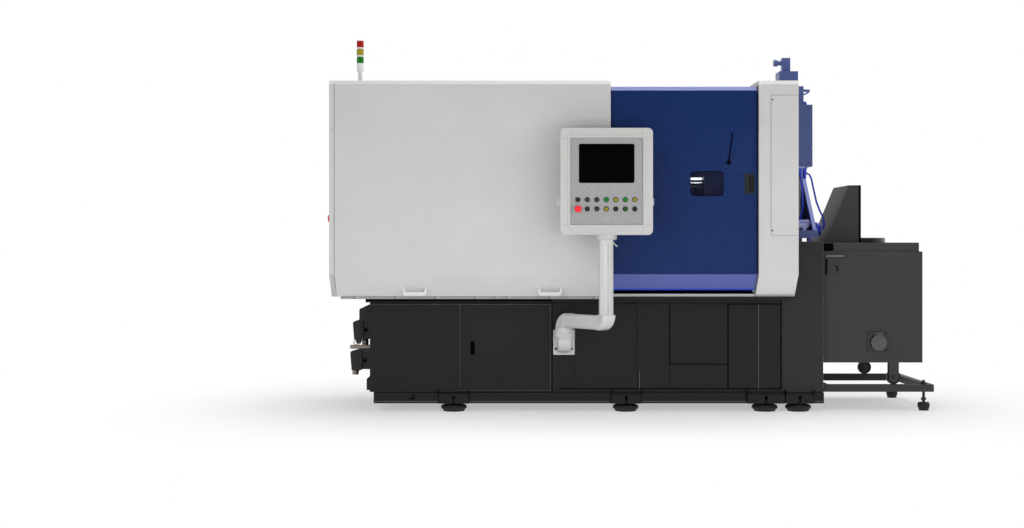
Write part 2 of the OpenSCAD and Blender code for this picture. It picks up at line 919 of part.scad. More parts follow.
// Quarter bend of square tube that rises from the origin and turns to run level along X
module tube_bend() {
    translate([bend_radius, 0, 0])
        rotate([90, 0, 0])
            rotate([0, 0, 90])
                rotate_extrude(angle = 90)
                    translate([bend_radius, 0])
                        rounded_square([elbow_width, elbow_width], tube_radius);
}

// Turned disc with a groove round its rim
module grooved_disc(height) {
    r = swivel_diameter / 2;
    groove = 3;
    rotate_extrude()
        polygon([[0, 0], [r - 3, 0], [r, 3], [r, height / 2 - groove], [r - 5, height / 2 - groove],
            [r - 5, height / 2], [r, height / 2], [r, height - 3], [r - 3, height], [0, height]]);
}

// Wall plate with four holes, a bend that comes out of it and the lower half of the swivel
module arm_bracket() {
    plate = 14;
    plate_z = swivel_z - 83;
    disc = 25;
    color("#d9dad8") machine() difference() {
        union() {
            upright_plate(bracket_x, -panel_face - plate, plate_z, bracket_width, bracket_height, plate, 8);
            translate([bracket_x, swivel_y + bend_radius - 1, bracket_tube_z])
                rotate([-90, 0, 0])
                    rounded_block([tube_width, tube_width, swivel_reach + base_half - panel_face - plate + 2 - bend_radius],
                        tube_radius);
            translate([bracket_x, swivel_y, bracket_tube_z + bend_radius])
                rotate([0, 0, 90])
                    mirror([0, 0, 1])
                        tube_bend();
            translate([bracket_x, swivel_y, swivel_z - 50])
                grooved_disc(disc);
        }
        translate([bracket_x, swivel_y, swivel_z - 75])
            cylinder(d = swivel_pin + 2 * swivel_gap, h = 60);
        for (x = [-49, 49], z = [-39, 39])
            translate([bracket_x + x, -panel_face + 1, plate_z + z])
                rotate([90, 0, 0])
                    cylinder(d = 15, h = plate + 2);
    }
}

// Bend up from the swivel, the level tube, the second bend and the upright tube under the panel
module swivel_arm() {
    top = panel_bottom - coupling_height;
    disc = 25;
    color("#dcdddb") machine() {
        translate([bracket_x, swivel_y, 0]) {
            translate([0, 0, swivel_z - 75 + 1])
                cylinder(d = swivel_pin, h = 60);
            translate([0, 0, swivel_z - disc + swivel_gap])
                grooved_disc(disc - swivel_gap);
            translate([0, 0, swivel_z - 1])
                cylinder(d = 112, h = arm_z - bend_radius - swivel_z + 5);
            rotate([0, 0, -90 + arm_angle]) {
                translate([0, 0, arm_z - bend_radius])
                    tube_bend();
                translate([bend_radius - 1, 0, arm_z])
                    rotate([90, 0, 90])
                        linear_extrude(arm_length - 2 * bend_radius + 2)
                            rounded_square([tube_width, tube_width], tube_radius);
            }
        }
        translate([tube_x, tube_y, 0]) {
            translate([0, 0, arm_z + bend_radius])
                rotate([0, 0, 90 + arm_angle])
                    mirror([0, 0, 1])
                        tube_bend();
            translate([0, 0, arm_z + bend_radius - 1])
                rounded_block([tube_width, tube_width, top - arm_z - bend_radius + 1], tube_radius);
            translate([0, 0, top - 1])
                cylinder(d = swivel_pin, h = 60);
        }
    }
}

// Small lever beside the coupling that clamps the panel's swivel
module clamp_lever() {
    side = tube_width / 2 + fit_gap;
    color("#c9cac8") machine() translate([tube_x, tube_y, panel_bottom - coupling_height - 15])
        difference() {
            translate([side - 8, 0, 8])
                rotate([0, 133, 0]) {
                    cylinder(d = 13, h = 16);
                    cylinder(d = 8, h = 44);
                }
            translate([side - 40, -20, -40])
                cube([40, 40, 80]);
        }
}

// Cast housing with a rim round the front plate, a hinge and a lock at its sides and the coupling below
module panel_housing() {
    z = panel_bottom + panel_height / 2;
    inner_w = panel_width - 2 * panel_frame;
    inner_h = panel_height - 2 * panel_frame;
    side = panel_width / 2;
    knob_z = panel_bottom + 192;
    low = coupling_height - swivel_gap;
    r = coupling_diameter / 2;
    color("#e4e5e3") machine() difference() {
        union() {
            upright_plate(tube_x, panel_front, z, panel_width, panel_height, panel_depth, panel_radius);
            upright_plate(tube_x, panel_front - panel_rim, z, inner_w + 2 * rim_width, inner_h + 2 * rim_width,
                panel_rim + 1, 12);
            translate([tube_x, tube_y, panel_bottom - low])
                rotate_extrude()
                    polygon([[0, 0], [r - 12, 0], [r - 4, 3], [r, 9], [r, low + 2], [0, low + 2]]);
            box([tube_x - side - 20, tube_x - side + 1], [panel_front + 30, panel_front + 58], [knob_z - 24, knob_z + 24]);
            box([tube_x + side - 1, tube_x + side + 9], [panel_front + 34, panel_front + 56], [knob_z - 20, knob_z + 20]);
        }
        upright_plate(tube_x, panel_front - panel_rim - 1, z, inner_w, inner_h, 11 + panel_rim, 6);
        translate([tube_x, tube_y, panel_bottom - low - 1])
            cylinder(d = swivel_pin + 2 * swivel_gap, h = 62);
    }
}

module panel_plate() {
    z = panel_bottom + panel_height / 2;
    color("#aeb0b1") machine() difference() {
        upright_plate(tube_x, panel_front + 4, z, panel_width - 2 * panel_frame - 2 * fit_gap,
            panel_height - 2 * panel_frame - 2 * fit_gap, 6, 5);
        upright_plate(tube_x, panel_front + 3, screen_z, screen_width, screen_height, 4, 4);
    }
}

module panel_screen() {
    color("#0c0d10") machine()
        upright_plate(tube_x, panel_front + 4, screen_z, screen_width - 2 * fit_gap,
            screen_height - 2 * fit_gap, 3 - fit_gap + 0.3, 4);
}

// Button bezels and caps in two rows of seven, without the emergency stop's place
module panel_buttons() {
    color("#33353a") machine()
        for (row = [0, 1], i = [0:6])
            if (row == 0 || i > 0)
                translate([tube_x + (i - 3) * button_pitch - 2, panel_front + 4, button_row(row)])
                    rotate([90, 0, 0]) {
                        cylinder(d = button_diameter, h = 6);
                        cylinder(d = button_diameter - 8, h = 12);
                    }
    panel_stop_button();
}

function button_row(row) = screen_z - screen_height / 2 - 99 - row * 54;

module panel_stop_button() {
    color("#d0181c") machine()
        translate([tube_x - 3 * button_pitch - 2, panel_front + 4, button_row(1)])
            rotate([90, 0, 0])
                rotate_extrude()
                    polygon([[0, 0], [15, 0], [15, 10], [11, 12], [11, 20], [stop_diameter / 2, 24],
                        [stop_diameter / 2, stop_height], [stop_diameter / 2 - 4, stop_height + 4], [0, stop_height + 4]]);
}

// Stem, cap and rings of the signal tower
module tower_stem() {
    y = tower_y;
    ring = 8;
    color("#d8d8d6") machine() translate([tower_x, y, cover_top]) {
        cylinder(d = stem_diameter * 1.7, h = 10);
        cylinder(d = stem_diameter, h = tower_base);
        translate([0, 0, tower_base - 12])
            cylinder(d1 = stem_diameter, d2 = lens_diameter - 2, h = 12);
        translate([0, 0, tower_base])
            cylinder(d = lens_diameter - 2, h = tower_pitch - lens_height + 34);
        for (i = [1, 2])
            translate([0, 0, tower_lens(i) - (tower_pitch - lens_height)])
                cylinder(d = lens_diameter - 6, h = tower_pitch - lens_height);
        translate([0, 0, tower_lens(2) + lens_height])
            cylinder(d = lens_diameter, h = tower_height - tower_lens(2) - lens_height);
    }
}

function tower_lens(i) = tower_base + tower_pitch - lens_height + 34 + i * tower_pitch;

module tower_lens_at(i) {
    machine() translate([tower_x, tower_y, cover_top + tower_lens(i)])
        cylinder(d = lens_diameter, h = lens_height);
}

module tower_red() {
    color("#c22a24") tower_lens_at(2);
}

module tower_amber() {
    color("#d9b23a") tower_lens_at(1);
}

module tower_green() {
    color("#1f8a4c") tower_lens_at(0);
}

// Base plate, two braced side plates and the head plate that carries the cylinder
module injection_frame() {
    w = injection_depth / 2;
    floor_z = injection_base + injection_plate;
    head = cylinder_bottom - 60;
    color("#3c4f92") machine() difference() {
        union() {
            box([pedestal_left + 70, injection_right], [-w - 30, w + 30], [injection_base, floor_z]);
            both_sides()
                box([pedestal_left + 90, base_right - 20], [-w - 30, -w + 40], [pedestal_top, injection_base]);
            both_sides()
                side_brace(w, floor_z, head);
            box([injection_x - 99, injection_x + 30], [-w, w], [head, cylinder_bottom]);
        }
        translate([injection_x, 0, head - 1])
            cylinder(d = piston_rod + 2 * fit_gap, h = 62);
        translate([injection_x, 0, injection_base - 1])
            cylinder(d = 90, h = injection_plate + 2);
        box([injection_x - 6, injection_x + 44], [-w - 31, w + 31], [pedestal_top - 1, injection_base - 2]);
        for (y = [-guide_y, guide_y])
            translate([injection_x + guide_shift, y, head - 1])
                cylinder(d = guide_rod + 2 * fit_gap, h = 40);
    }
}

// Tapered side plate with a flange along its slanting edge
module side_brace(w, low, high) {
    flange = 24;
    foot = injection_right - 2;
    head = injection_x + 28;
    translate([0, -web_y, 0])
        rotate([90, 0, 0])
            linear_extrude(side_plate)
                polygon([[injection_x - 90, low - 1], [foot, low - 1], [head, high + 1], [injection_x - 90, high + 1]]);
    translate([0, -w + strut_depth, 0])
        rotate([90, 0, 0])
            linear_extrude(strut_depth)
                polygon([[foot - flange, low - 1], [foot, low - 1], [head, high + 1], [head - flange, high + 1]]);
}

// Vertical shot cylinder's block with the valve blocks on its top
module injection_cylinder() {
    w = injection_depth / 2 - 20;
    left_side = injection_x - 99;
    color("#4a5a9a") machine() {
        box([left_side, left_side + cylinder_width], [-w, w], [cylinder_bottom, cylinder_top]);
        box([injection_x - 80, injection_x + 28], [-w + 30, w - 30], [cylinder_top, cylinder_top + 120]);
        box([injection_x - 117, injection_x + 3], [-75, 75], [cylinder_top + 120, cylinder_top + 221]);
        box([injection_x - 91, injection_x - 39], [-30, 30], [cylinder_top + 221, cylinder_top + 311]);
        translate([injection_x - 91, 0, cylinder_top + 280])
            rotate([0, -90, 0]) {
                cylinder(d = 30, h = 30);
                translate([0, 0, 26])
                    cylinder(d = 44, h = 25);
            }
        lifting_lug();
    }
}

// Pointed plate with an eye beside the head of the cylinder
module lifting_lug() {
    eye = 14;
    z = cylinder_top + 90;
    translate([injection_x + 26, -60, z])
        linear_extrude(14)
            difference() {
                polygon([[0, -30], [30, -22], [56, 0], [30, 22], [0, 30]]);
                translate([28, 0])
                    circle(d = eye);
            }
}

// Piston rod with its coupling, the horizontal shift cylinder and its end flange
module injection_rods() {
    floor_z = injection_base + injection_plate;
    coupling = 1229;
    shift_y = -110;
    shift_z = floor_z + 12 + shift_cylinder / 2;
    color("#8e9296") machine() {
        translate([injection_x, 0, coupling - 1])
            cylinder(d = piston_rod, h = cylinder_bottom - coupling + 1);
        translate([injection_x, 0, injection_base])
            cylinder(d = rod_coupling, h = coupling - injection_base);
        for (y = [-guide_y, guide_y])
            translate([injection_x + guide_shift, y, floor_z + fit_gap])
                cylinder(d = guide_rod, h = cylinder_bottom - 60 + 30 - floor_z);
        translate([pedestal_left + 90, shift_y, shift_z])
            rotate([0, 90, 0])
                shift_body();
        for (x = [pedestal_left + 130, injection_x + 20])
            box([x, x + 24], [shift_y - 30, shift_y + 30], [floor_z, shift_z - 10]);
        translate([injection_right, shift_y, floor_z + 6])
            rotate([0, 90, 0])
                rotate_extrude()
                    polygon([[0, 0], [38, 0], [46, 4], [46, 12], [30, 14], [30, 20], [42, 22], [42, 30], [20, 34], [0, 34]]);
    }
}

// Cylinder tube with a rounded end
module shift_body() {
    r = shift_cylinder / 2;
    length = 160;
    rotate_extrude()
        union() {
            square([r, length - r / 2]);
            intersection() {
                translate([0, length - r])
                    circle(r);
                translate([0, length - r])
                    square([r, r]);
            }
        }
}

// Tube swept along a route of points, with a ring of points at each
function unit(v) = v / norm(v);
function route_way(p, i) = unit(p[min(i + 1, len(p) - 1)] - p[max(i - 1, 0)]);
function ring_point(p, i, a, r) =
    let (way = route_way(p, i), side = unit(cross(way, [0.1, 1, 0.05])), up = cross(way, side))
    p[i] + r * (cos(a) * side + sin(a) * up);

module tube_along(p, r) {
    last = len(p) - 1;
    n = pipe_sides;
    points = [for (i = [0:last], k = [0:n - 1]) ring_point(p, i, -k * 360 / n, r)];
    walls = [for (i = [0:last - 1], k = [0:n - 1])
        [i * n + k, i * n + (k + 1) % n, (i + 1) * n + (k + 1) % n, (i + 1) * n + k]];
    polyhedron(concat(points), concat(walls,
        [[for (k = [n - 1:-1:0]) k]], [[for (k = [0:n - 1]) last * n + k]]), convexity = 6);
}

// Route of a pipe: a point's X and Z are counted from the head, or from the base plate's right end
function up(x, y, z) = [injection_x + x, y, cylinder_bottom - z];

function down(x, y, z) = [injection_right + x, y, injection_base + injection_plate + z];

pipe_routes = [
    [up(-10, -180.3, 31), up(-10, -190, 31), up(-7, -197, 41), up(-1, -198, 75), up(5, -198, 140),
        up(9, -196, 205), up(11, -190, 245), up(12, -160, 280), up(12, -125, 300), down(-93, -110, 88),
        down(-93, -110, 69.4)],
    [up(41, -120, 0.3), up(41, -120, 25), up(49, -124, 43), up(65, -126, 49), up(77, -128, 75),
        up(91, -132, 145), down(2, -136, 183), down(22, -138, 128), down(42, -138, 88), down(50, -136, 53),
        down(53, -128, 26), down(46, -120, 12), down(34.3, -120, 12)]
];

// Rigid pipes from the head of the unit to the shift cylinder and its flange
module injection_pipes() {
    color("#2a3f9e") machine()
        for (route = pipe_routes)
            tube_along(route, pipe_diameter / 2);
}

module furnace_body() {
    h = furnace_depth / 2;
    color("#3c3d3f") machine() {
        difference() {
            union() {
                box([furnace_left, furnace_right], [-h, h], [furnace_bottom, furnace_top]);
                box([furnace_left, furnace_right - 20], [-h + 6, h - 6], [furnace_top, lid_top]);
                translate([pot_x, 0, lid_top])
                    cylinder(d = pot_ring, h = pot_ring_height);
                damper_rod(-h - 3, furnace_top - 29);
            }
            translate([pot_x, 0, furnace_top - 260])
                cylinder(d = pot_bore, h = 400);
            box([furnace_left - 1, furnace_left + 60], [-h - 1, -h + 70], [lid_top - 52, lid_top - 5]);
            tap_hatch(-h, furnace_top - 142);
        }
        for (side = [-1, 1], inner = [0, 1]) {
            y = side * (h - axle_plate / 2 - inner * (wheel_width + 2 * wheel_gap + axle_plate));
            across(y, axle_plate)
                axle_leg();
            across(y, axle_plate)
                inner_axle_arm();
        }
        burner_port(furnace_left + 329, -h, furnace_bottom + 129);
    }
}

// Rod with a thicker end that lies along the furnace's face
module damper_rod(y, z) {
    translate([furnace_left, y, z])
        rotate([0, 90, 0]) {
            cylinder(d = 12, h = 134);
            translate([0, 0, 92])
                cylinder(d = 16, h = 42);
        }
}

// Gap and seams round a small hatch with a crescent finger hole, cut into the face
module tap_hatch(y, z) {
    x = furnace_left + 8;
    height = 97;
    width = 76;
    seam = 2;
    box([x, x + 10], [y - 1, y + 14], [z, z + height]);
    for (level = [z, z + height - seam])
        box([x, x + width], [y - 1, y + 3], [level, level + seam]);
    box([x + width, x + width + seam], [y - 1, y + 3], [z, z + height]);
    translate([x + 50, y + 10, z + 43])
        rotate([90, 0, 0])
            linear_extrude(11)
                difference() {
                    circle(18);
                    translate([-8, 2])
                        circle(18);
                }
}

// Square plate with a hinged round cover over the burner's port
module burner_port(x, y, z) {
    plate = 8;
    cover = 13;
    r = port_diameter / 2;
    upright_plate(x, y - plate, z, 122, 119, plate + 0.5, 6);
    translate([x + 8, y - plate + 1, z - 7])
        rotate([90, 0, 0]) {
            cylinder(r = r, h = cover);
            linear_extrude(cover - 3)
                polygon([[-r + 2, 8], [-33, 60], [33, 60], [r - 2, 8]]);
        }
    translate([x - 25, y - plate - 8, z + 55])
        rotate([0, 90, 0])
            cylinder(d = 11, h = 66);
}

// Plate down from the furnace's floor with a round end about the axle
module axle_leg() {
    difference() {
        union() {
            translate([axle_x, axle_z])
                circle(30);
            square_at([axle_x - 30, axle_z], [60, furnace_bottom + 1 - axle_z]);
        }
        translate([axle_x, axle_z])
            circle(d = axle_diameter + 2 * fit_gap);
    }
}

// Plate that reaches from the furnace's left side into the bay to the inner axle
module inner_axle_arm() {
    top = furnace_bottom + 35;
    difference() {
        union() {
            translate([inner_axle_x, axle_z])
                circle(30);
            polygon([[inner_axle_x - 30, axle_z], [inner_axle_x + 30, axle_z], [furnace_left - 12, furnace_bottom + 2],
                [furnace_left + 1, furnace_bottom + 2], [furnace_left + 1, top], [inner_axle_x - 12, top],
                [inner_axle_x - 30, top - 18]]);
        }
        translate([inner_axle_x, axle_z])
            circle(d = axle_diameter + 2 * fit_gap);
    }
}

// Fume hood over the left half of the pot, open below and on its right
module furnace_hood() {
    right = furnace_left + hood_inset + hood_length;
    color("#4a4b4d") machine() {
        difference() {
            hood_form(0);
            hood_form(hood_sheet);
        }
        both_sides()
            box([right, right + hood_lip], [-hood_depth / 2, -hood_depth / 2 + hood_lip], [lid_top, lid_top + hood_height]);
    }
}

// Hood that leans back from its foot to a narrow top
module hood_form(wall) {
    x = furnace_left + hood_inset;
    top = lid_top + hood_height - wall;
    half = hood_depth / 2 - wall;
    low = wall > 0 ? lid_top - 1 : lid_top;
    right = wall > 0 ? x + hood_length + 1 : x + hood_length;
    slant = hood_lean / hood_height;
    translate([0, half, 0])
        rotate([90, 0, 0])
            linear_extrude(2 * half)
                polygon([[x + 1.1 * wall - slant * (lid_top - low), low], [x + 1.1 * wall + slant * (top - lid_top), top],
                    [right, top], [right, low]]);
}

// Wheel with rim, web and hub, its middle at the origin
module wheel_form() {
    w = wheel_width / 2;
    hub = w + wheel_gap - 0.5;
    r = wheel_diameter / 2;
    rotate([90, 0, 0])
        rotate_extrude()
            polygon([[0, -hub], [19, -hub], [19, -w / 2], [r - 9, -w / 2], [r - 7, -w], [r, -w], [r, w],
                [r - 7, w], [r - 9, w / 2], [19, w / 2], [19, hub], [0, hub]]);
}

// Wheel on a stub axle under the furnace's right end at the front
module near_wheel() {
    stub_wheel(-wheel_y);
}

// Wheel under the furnace's right end at the back
module far_wheel() {
    stub_wheel(wheel_y);
}

// Two wheels on one axle under the furnace's left end, inside the pedestal's bay
module rear_wheelset() {
    color("#2a2a2c") machine() {
        for (y = [-wheel_y, wheel_y])
            translate([inner_axle_x, y, axle_z])
                wheel_form();
        translate([inner_axle_x, 0, axle_z])
            rotate([90, 0, 0])
                cylinder(d = axle_diameter, h = furnace_depth + 6, center = true);
    }
}

module stub_wheel(y) {
    color("#2a2a2c") machine() translate([axle_x, y, axle_z]) {
        wheel_form();
        rotate([90, 0, 0])
            cylinder(d = axle_diameter, h = wheel_width + 2 * wheel_gap + 2 * axle_plate + 6, center = true);
    }
}

module rail_frame() {
    w = rail_width / 2;
    low = rail_top - rail_section;
    start = bay_left + 10;
    color("#26272a") machine() {
        both_sides()
            box([start, rail_end], [-w, -w + rail_section], [low, rail_top]);
        for (x = [start, base_right, rail_end - rail_section])
            box([x, x + rail_section], [-w + 1, w - 1], [low, rail_top]);
    }
}

base_frame();
base_panels();
end_pedestal();
levelling_feet();
hydraulic_cabinet();
hydraulic_door();
end_connectors();
end_stop_button();
guard_front();
guard_end();
guard_rear();
cover_rail();
grab_handles();
column_cover();
column_access_panel();
safety_door();
door_window();
door_pull();
door_rod();
rear_guard();
door_rails();
tie_bars();
fixed_platen();
clamp_platens();
arm_bracket();
swivel_arm();
clamp_lever();
panel_housing();
panel_plate();
panel_screen();
panel_buttons();
tower_stem();
tower_red();
tower_amber();
tower_green();
injection_frame();
injection_cylinder();
injection_rods();
injection_pipes();
furnace_body();
furnace_hood();
near_wheel();
far_wheel();
rear_wheelset();
rail_frame();
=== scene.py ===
# %% [markdown]
# # A hot chamber die casting machine
# The machine's solids come finished from its CAD source. Here they get what makes them look real:
# rounded edges, paint, glass and metal, and the small parts that are too fine for the CAD model.
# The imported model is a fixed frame: nothing in it is moved, and every new piece sits on a part of it.

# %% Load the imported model
import json
import math

import bmesh
import bpy
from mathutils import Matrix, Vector

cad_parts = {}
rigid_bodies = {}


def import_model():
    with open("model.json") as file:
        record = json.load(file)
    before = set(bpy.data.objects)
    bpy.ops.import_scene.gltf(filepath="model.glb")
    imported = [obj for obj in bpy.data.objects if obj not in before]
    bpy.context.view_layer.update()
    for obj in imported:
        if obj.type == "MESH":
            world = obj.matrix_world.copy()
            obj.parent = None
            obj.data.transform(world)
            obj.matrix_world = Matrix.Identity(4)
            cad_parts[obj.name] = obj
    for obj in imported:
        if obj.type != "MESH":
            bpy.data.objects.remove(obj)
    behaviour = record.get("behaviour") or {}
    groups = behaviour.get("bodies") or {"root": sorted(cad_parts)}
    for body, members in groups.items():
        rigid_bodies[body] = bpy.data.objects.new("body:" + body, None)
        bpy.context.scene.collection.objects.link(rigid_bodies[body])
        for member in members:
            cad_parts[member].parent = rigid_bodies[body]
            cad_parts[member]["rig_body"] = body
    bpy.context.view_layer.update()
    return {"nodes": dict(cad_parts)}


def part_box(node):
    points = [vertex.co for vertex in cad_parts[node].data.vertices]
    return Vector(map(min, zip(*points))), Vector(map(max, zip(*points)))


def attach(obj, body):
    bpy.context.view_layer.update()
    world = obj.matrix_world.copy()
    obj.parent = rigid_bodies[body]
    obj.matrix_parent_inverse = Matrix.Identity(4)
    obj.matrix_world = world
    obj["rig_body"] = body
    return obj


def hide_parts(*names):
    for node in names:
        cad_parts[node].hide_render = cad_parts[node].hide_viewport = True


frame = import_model()

# %% [markdown]
# ## Places on the machine
# The CAD source counts X from the left end of the white cover, Y from the machine's middle and Z from
# the floor, in millimetres. The same numbers are handy here, so one function turns them into metres
# in the shared frame. The end guard's box says where that left end and that middle are.

# %% Machine millimetres to metres
MM = 0.001
end_low, end_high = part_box("guard_end")
ORIGIN = Vector((end_low.x, (end_low.y + end_high.y) / 2, 0))


def place(x, y, z):
    """Machine millimetres to a point in the shared frame."""
    return ORIGIN + Vector((x, y, z)) * MM


def machine_box(node):
    """A CAD node's lowest and highest corner in machine millimetres, which it also prints."""
    low, high = [(corner - ORIGIN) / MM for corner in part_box(node)]
    print(node, "from", [round(v) for v in low], "to", [round(v) for v in high])
    return low, high


print("cover's left end and middle:", [round(v, 4) for v in ORIGIN])

# %% [markdown]
# ## Camera
# The photograph looks straight along Y from about eye height, with a moderately long lens. A lens
# shift puts the horizon a little above the middle without tilting the camera, so that upright edges
# stay parallel.

# %% Camera
CAMERA_PLACE = (-0.741, -10.126, 1.015)
IMAGE_WIDTH = 1024
HORIZON_ABOVE_MIDDLE = 18.4  # pixels
camera_data = bpy.data.cameras.new("camera")
camera_data.lens = 56.25
camera_data.sensor_width = 36
camera_data.shift_y = -HORIZON_ABOVE_MIDDLE / IMAGE_WIDTH
camera = bpy.data.objects.new("camera", camera_data)
camera.location = CAMERA_PLACE
camera.rotation_euler = (math.pi / 2, 0, 0)
bpy.context.scene.collection.objects.link(camera)
bpy.context.scene.camera = camera
print("camera at", CAMERA_PLACE, "lens", camera_data.lens)

# %% [markdown]
# ## Nodes and colours
# A material is a tree of nodes. Two helpers keep the trees short: one turns a colour as it is picked
# from a screen (sRGB hex) into the linear value that Blender calculates with, the other adds a node
# with its settings and links.

# %% Helpers for node trees
def linear(code):
    """An sRGB hex colour as linear RGBA."""
    parts = [int(code[i:i + 2], 16) / 255 for i in (1, 3, 5)]
    return [p / 12.92 if p <= 0.04045 else ((p + 0.055) / 1.055) ** 2.4 for p in parts] + [1.0]


def add(tree, kind, inputs=None, **settings):
    """Adds a node. Each input is a value, or a socket that is linked to it."""
    node = tree.nodes.new(kind)
    for name, value in settings.items():
        setattr(node, name, value)
    for key, value in (inputs or {}).items():
        if isinstance(value, bpy.types.NodeSocket):
            tree.links.new(value, node.inputs[key])
        else:
            node.inputs[key].default_value = value
    return node


def empty_material(name):
    """A material with an empty tree, and the socket of its object coordinates."""
    material = bpy.data.materials.new(name)
    material.use_nodes = True
    tree = material.node_tree
    tree.nodes.clear()
    return material, tree, add(tree, "ShaderNodeTexCoord").outputs["Object"]


def show(tree, shader):
    """Links a shader to the material's output."""
    add(tree, "ShaderNodeOutputMaterial", {"Surface": shader.outputs[0]})


print("white is", linear("#ffffff"))

# %% [markdown]
# ## Studio
# The machine stands in a plain pale studio. The floor is a real diffuse surface near the machine, so
# it takes the shadows, and fades to plain white further out, where the background is white too. The
# world is white for the camera and, on the backdrop's side, for reflections and clear panes. Behind
# the camera it is a dark room, as in a real studio, so that black paint and blue paint stay deep. The
# light that the world sheds is softer, and five lamps model the forms: two large ones at the sides,
# one above, a long low one in front, and one that washes the floor, so that some light comes back up
# under the folds of the covers.

# %% Floor
WHITE = (1, 1, 1, 1)
FLOOR_SIZE = 60.0
FADE_START, FADE_END = 1.5, 3.3  # metres from the machine's middle
NEAR_WHITE = 0.45  # share of plain white in the floor close to the machine, as the camera sees it


def seen_directly(tree):
    """One for rays from the camera, a mirror or clear glass, zero for light that is scattered."""
    path = add(tree, "ShaderNodeLightPath")
    total = add(tree, "ShaderNodeMath", {
        0: path.outputs["Is Camera Ray"], 1: path.outputs["Is Glossy Ray"]}, operation="ADD")
    return add(tree, "ShaderNodeMath", {0: total.outputs[0], 1: path.outputs["Is Transmission Ray"]},
               operation="ADD", use_clamp=True).outputs[0]


floor_material, tree, coords = empty_material("studio_floor")
distance = add(tree, "ShaderNodeVectorMath", {0: coords}, operation="LENGTH")
fade = add(tree, "ShaderNodeMapRange", {
    "Value": distance.outputs["Value"], "From Min": FADE_START, "From Max": FADE_END,
    "To Min": NEAR_WHITE}, interpolation_type="SMOOTHSTEP")
white_part = add(tree, "ShaderNodeMath", {0: fade.outputs["Result"], 1: seen_directly(tree)}, operation="MULTIPLY")
painted_floor = add(tree, "ShaderNodeBsdfDiffuse", {"Color": linear("#f4f4f4")})
plain_white = add(tree, "ShaderNodeEmission", {"Color": WHITE, "Strength": 1.0})
show(tree, add(tree, "ShaderNodeMixShader", {
    0: white_part.outputs[0], 1: painted_floor.outputs[0], 2: plain_white.outputs[0]}))
floor_mesh = bpy.data.meshes.new("floor")
half = FLOOR_SIZE / 2
floor_mesh.from_pydata([(-half, -half, 0), (half, -half, 0), (half, half, 0), (-half, half, 0)], [], [(0, 1, 2, 3)])
floor_mesh.materials.append(floor_material)
floor = bpy.data.objects.new("floor", floor_mesh)
bpy.context.scene.collection.objects.link(floor)
print("floor size in metres:", FLOOR_SIZE)

# %% World
SOFT_LIGHT = 0.33
ROOM_ENDS, BACKDROP_STARTS = -0.75, 0.35  # how far a ray heads along Y, from -1 to 1
DARK_ROOM = 0.12  # share of white that a mirror finds in the dark room
MIRROR_DIM = 0.8  # share of the soft light that gloss and clear panes do without
world = bpy.data.worlds.new("studio")
world.use_nodes = True
tree = world.node_tree
tree.nodes.clear()
path = add(tree, "ShaderNodeLightPath")
heading = add(tree, "ShaderNodeSeparateXYZ", {0: add(tree, "ShaderNodeTexCoord").outputs["Generated"]})
backdrop = add(tree, "ShaderNodeMapRange", {
    "Value": heading.outputs["Y"], "From Min": ROOM_ENDS, "From Max": BACKDROP_STARTS, "To Min": DARK_ROOM,
    "To Max": 1.0}, interpolation_type="SMOOTHSTEP")
mirrored = add(tree, "ShaderNodeMath", {
    0: path.outputs["Is Glossy Ray"], 1: path.outputs["Is Transmission Ray"]}, operation="ADD")
in_mirror = add(tree, "ShaderNodeMath", {0: mirrored.outputs[0], 1: backdrop.outputs["Result"]}, operation="MULTIPLY")
direct = add(tree, "ShaderNodeMath", {
    0: in_mirror.outputs[0], 1: path.outputs["Is Camera Ray"]}, operation="ADD", use_clamp=True)
dim = add(tree, "ShaderNodeMath", {0: mirrored.outputs[0], 1: -MIRROR_DIM, 2: 1.0}, operation="MULTIPLY_ADD")
strength = add(tree, "ShaderNodeMath", {0: dim.outputs[0], 1: SOFT_LIGHT}, operation="MULTIPLY")
soft = add(tree, "ShaderNodeBackground", {"Color": WHITE, "Strength": strength.outputs[0]})
plain = add(tree, "ShaderNodeBackground", {"Color": WHITE, "Strength": 1.0})
both = add(tree, "ShaderNodeMixShader", {0: direct.outputs[0], 1: soft.outputs[0], 2: plain.outputs[0]})
add(tree, "ShaderNodeOutputWorld", {"Surface": both.outputs[0]})
bpy.context.scene.world = world
print("world nodes:", len(tree.nodes))


# %% Lamps
def lamp(name, location, size, watts, length=None, aim=(0, 0, 1.0)):
    """A soft light that faces the middle of the machine, or another point. Gloss mirrors only the top one."""
    data = bpy.data.lights.new(name, "AREA")
    data.shape = "RECTANGLE"
    data.size = length or size
    data.size_y = size
    data.energy = watts
    light = bpy.data.objects.new(name, data)
    light.visible_camera = False
    light.visible_glossy = name == "top"
    light.location = location
    light.rotation_euler = (Vector(aim) - Vector(location)).to_track_quat("-Z", "Y").to_euler()
    bpy.context.scene.collection.objects.link(light)


lamp("key", (-4.5, -7.0, 4.4), 4.0, 110)
lamp("fill", (6.0, -6.0, 2.6), 4.0, 105)
lamp("top", (0.5, 1.0, 6.0), 5.0, 250)
lamp("front", (-0.1, -4.6, 0.9), 0.8, 60, length=6.0)
lamp("wash", (-0.3, -2.9, 1.5), 1.2, 16, length=6.0, aim=(-0.3, -2.5, 0))
bpy.context.scene.view_settings.view_transform = "Standard"

# %% [markdown]
# ## Powder coat and structural paint
# Nearly every sheet and casting here is steel under powder coat: a thin plastic skin that hides the
# metal, with a fine orange-peel texture. Its real grain is 1 to 2 mm and would vanish at this
# distance, so the bump is drawn at 6 to 9 mm and kept shallow. A slow mottle of a few per cent keeps
# large sheets from looking like flat card.

# %% Painted steel
MOTTLE_WAVES = 2.2  # the slow drift of a sprayed coat, in waves for each metre
PEEL_DEPTH = 0.0006  # metres


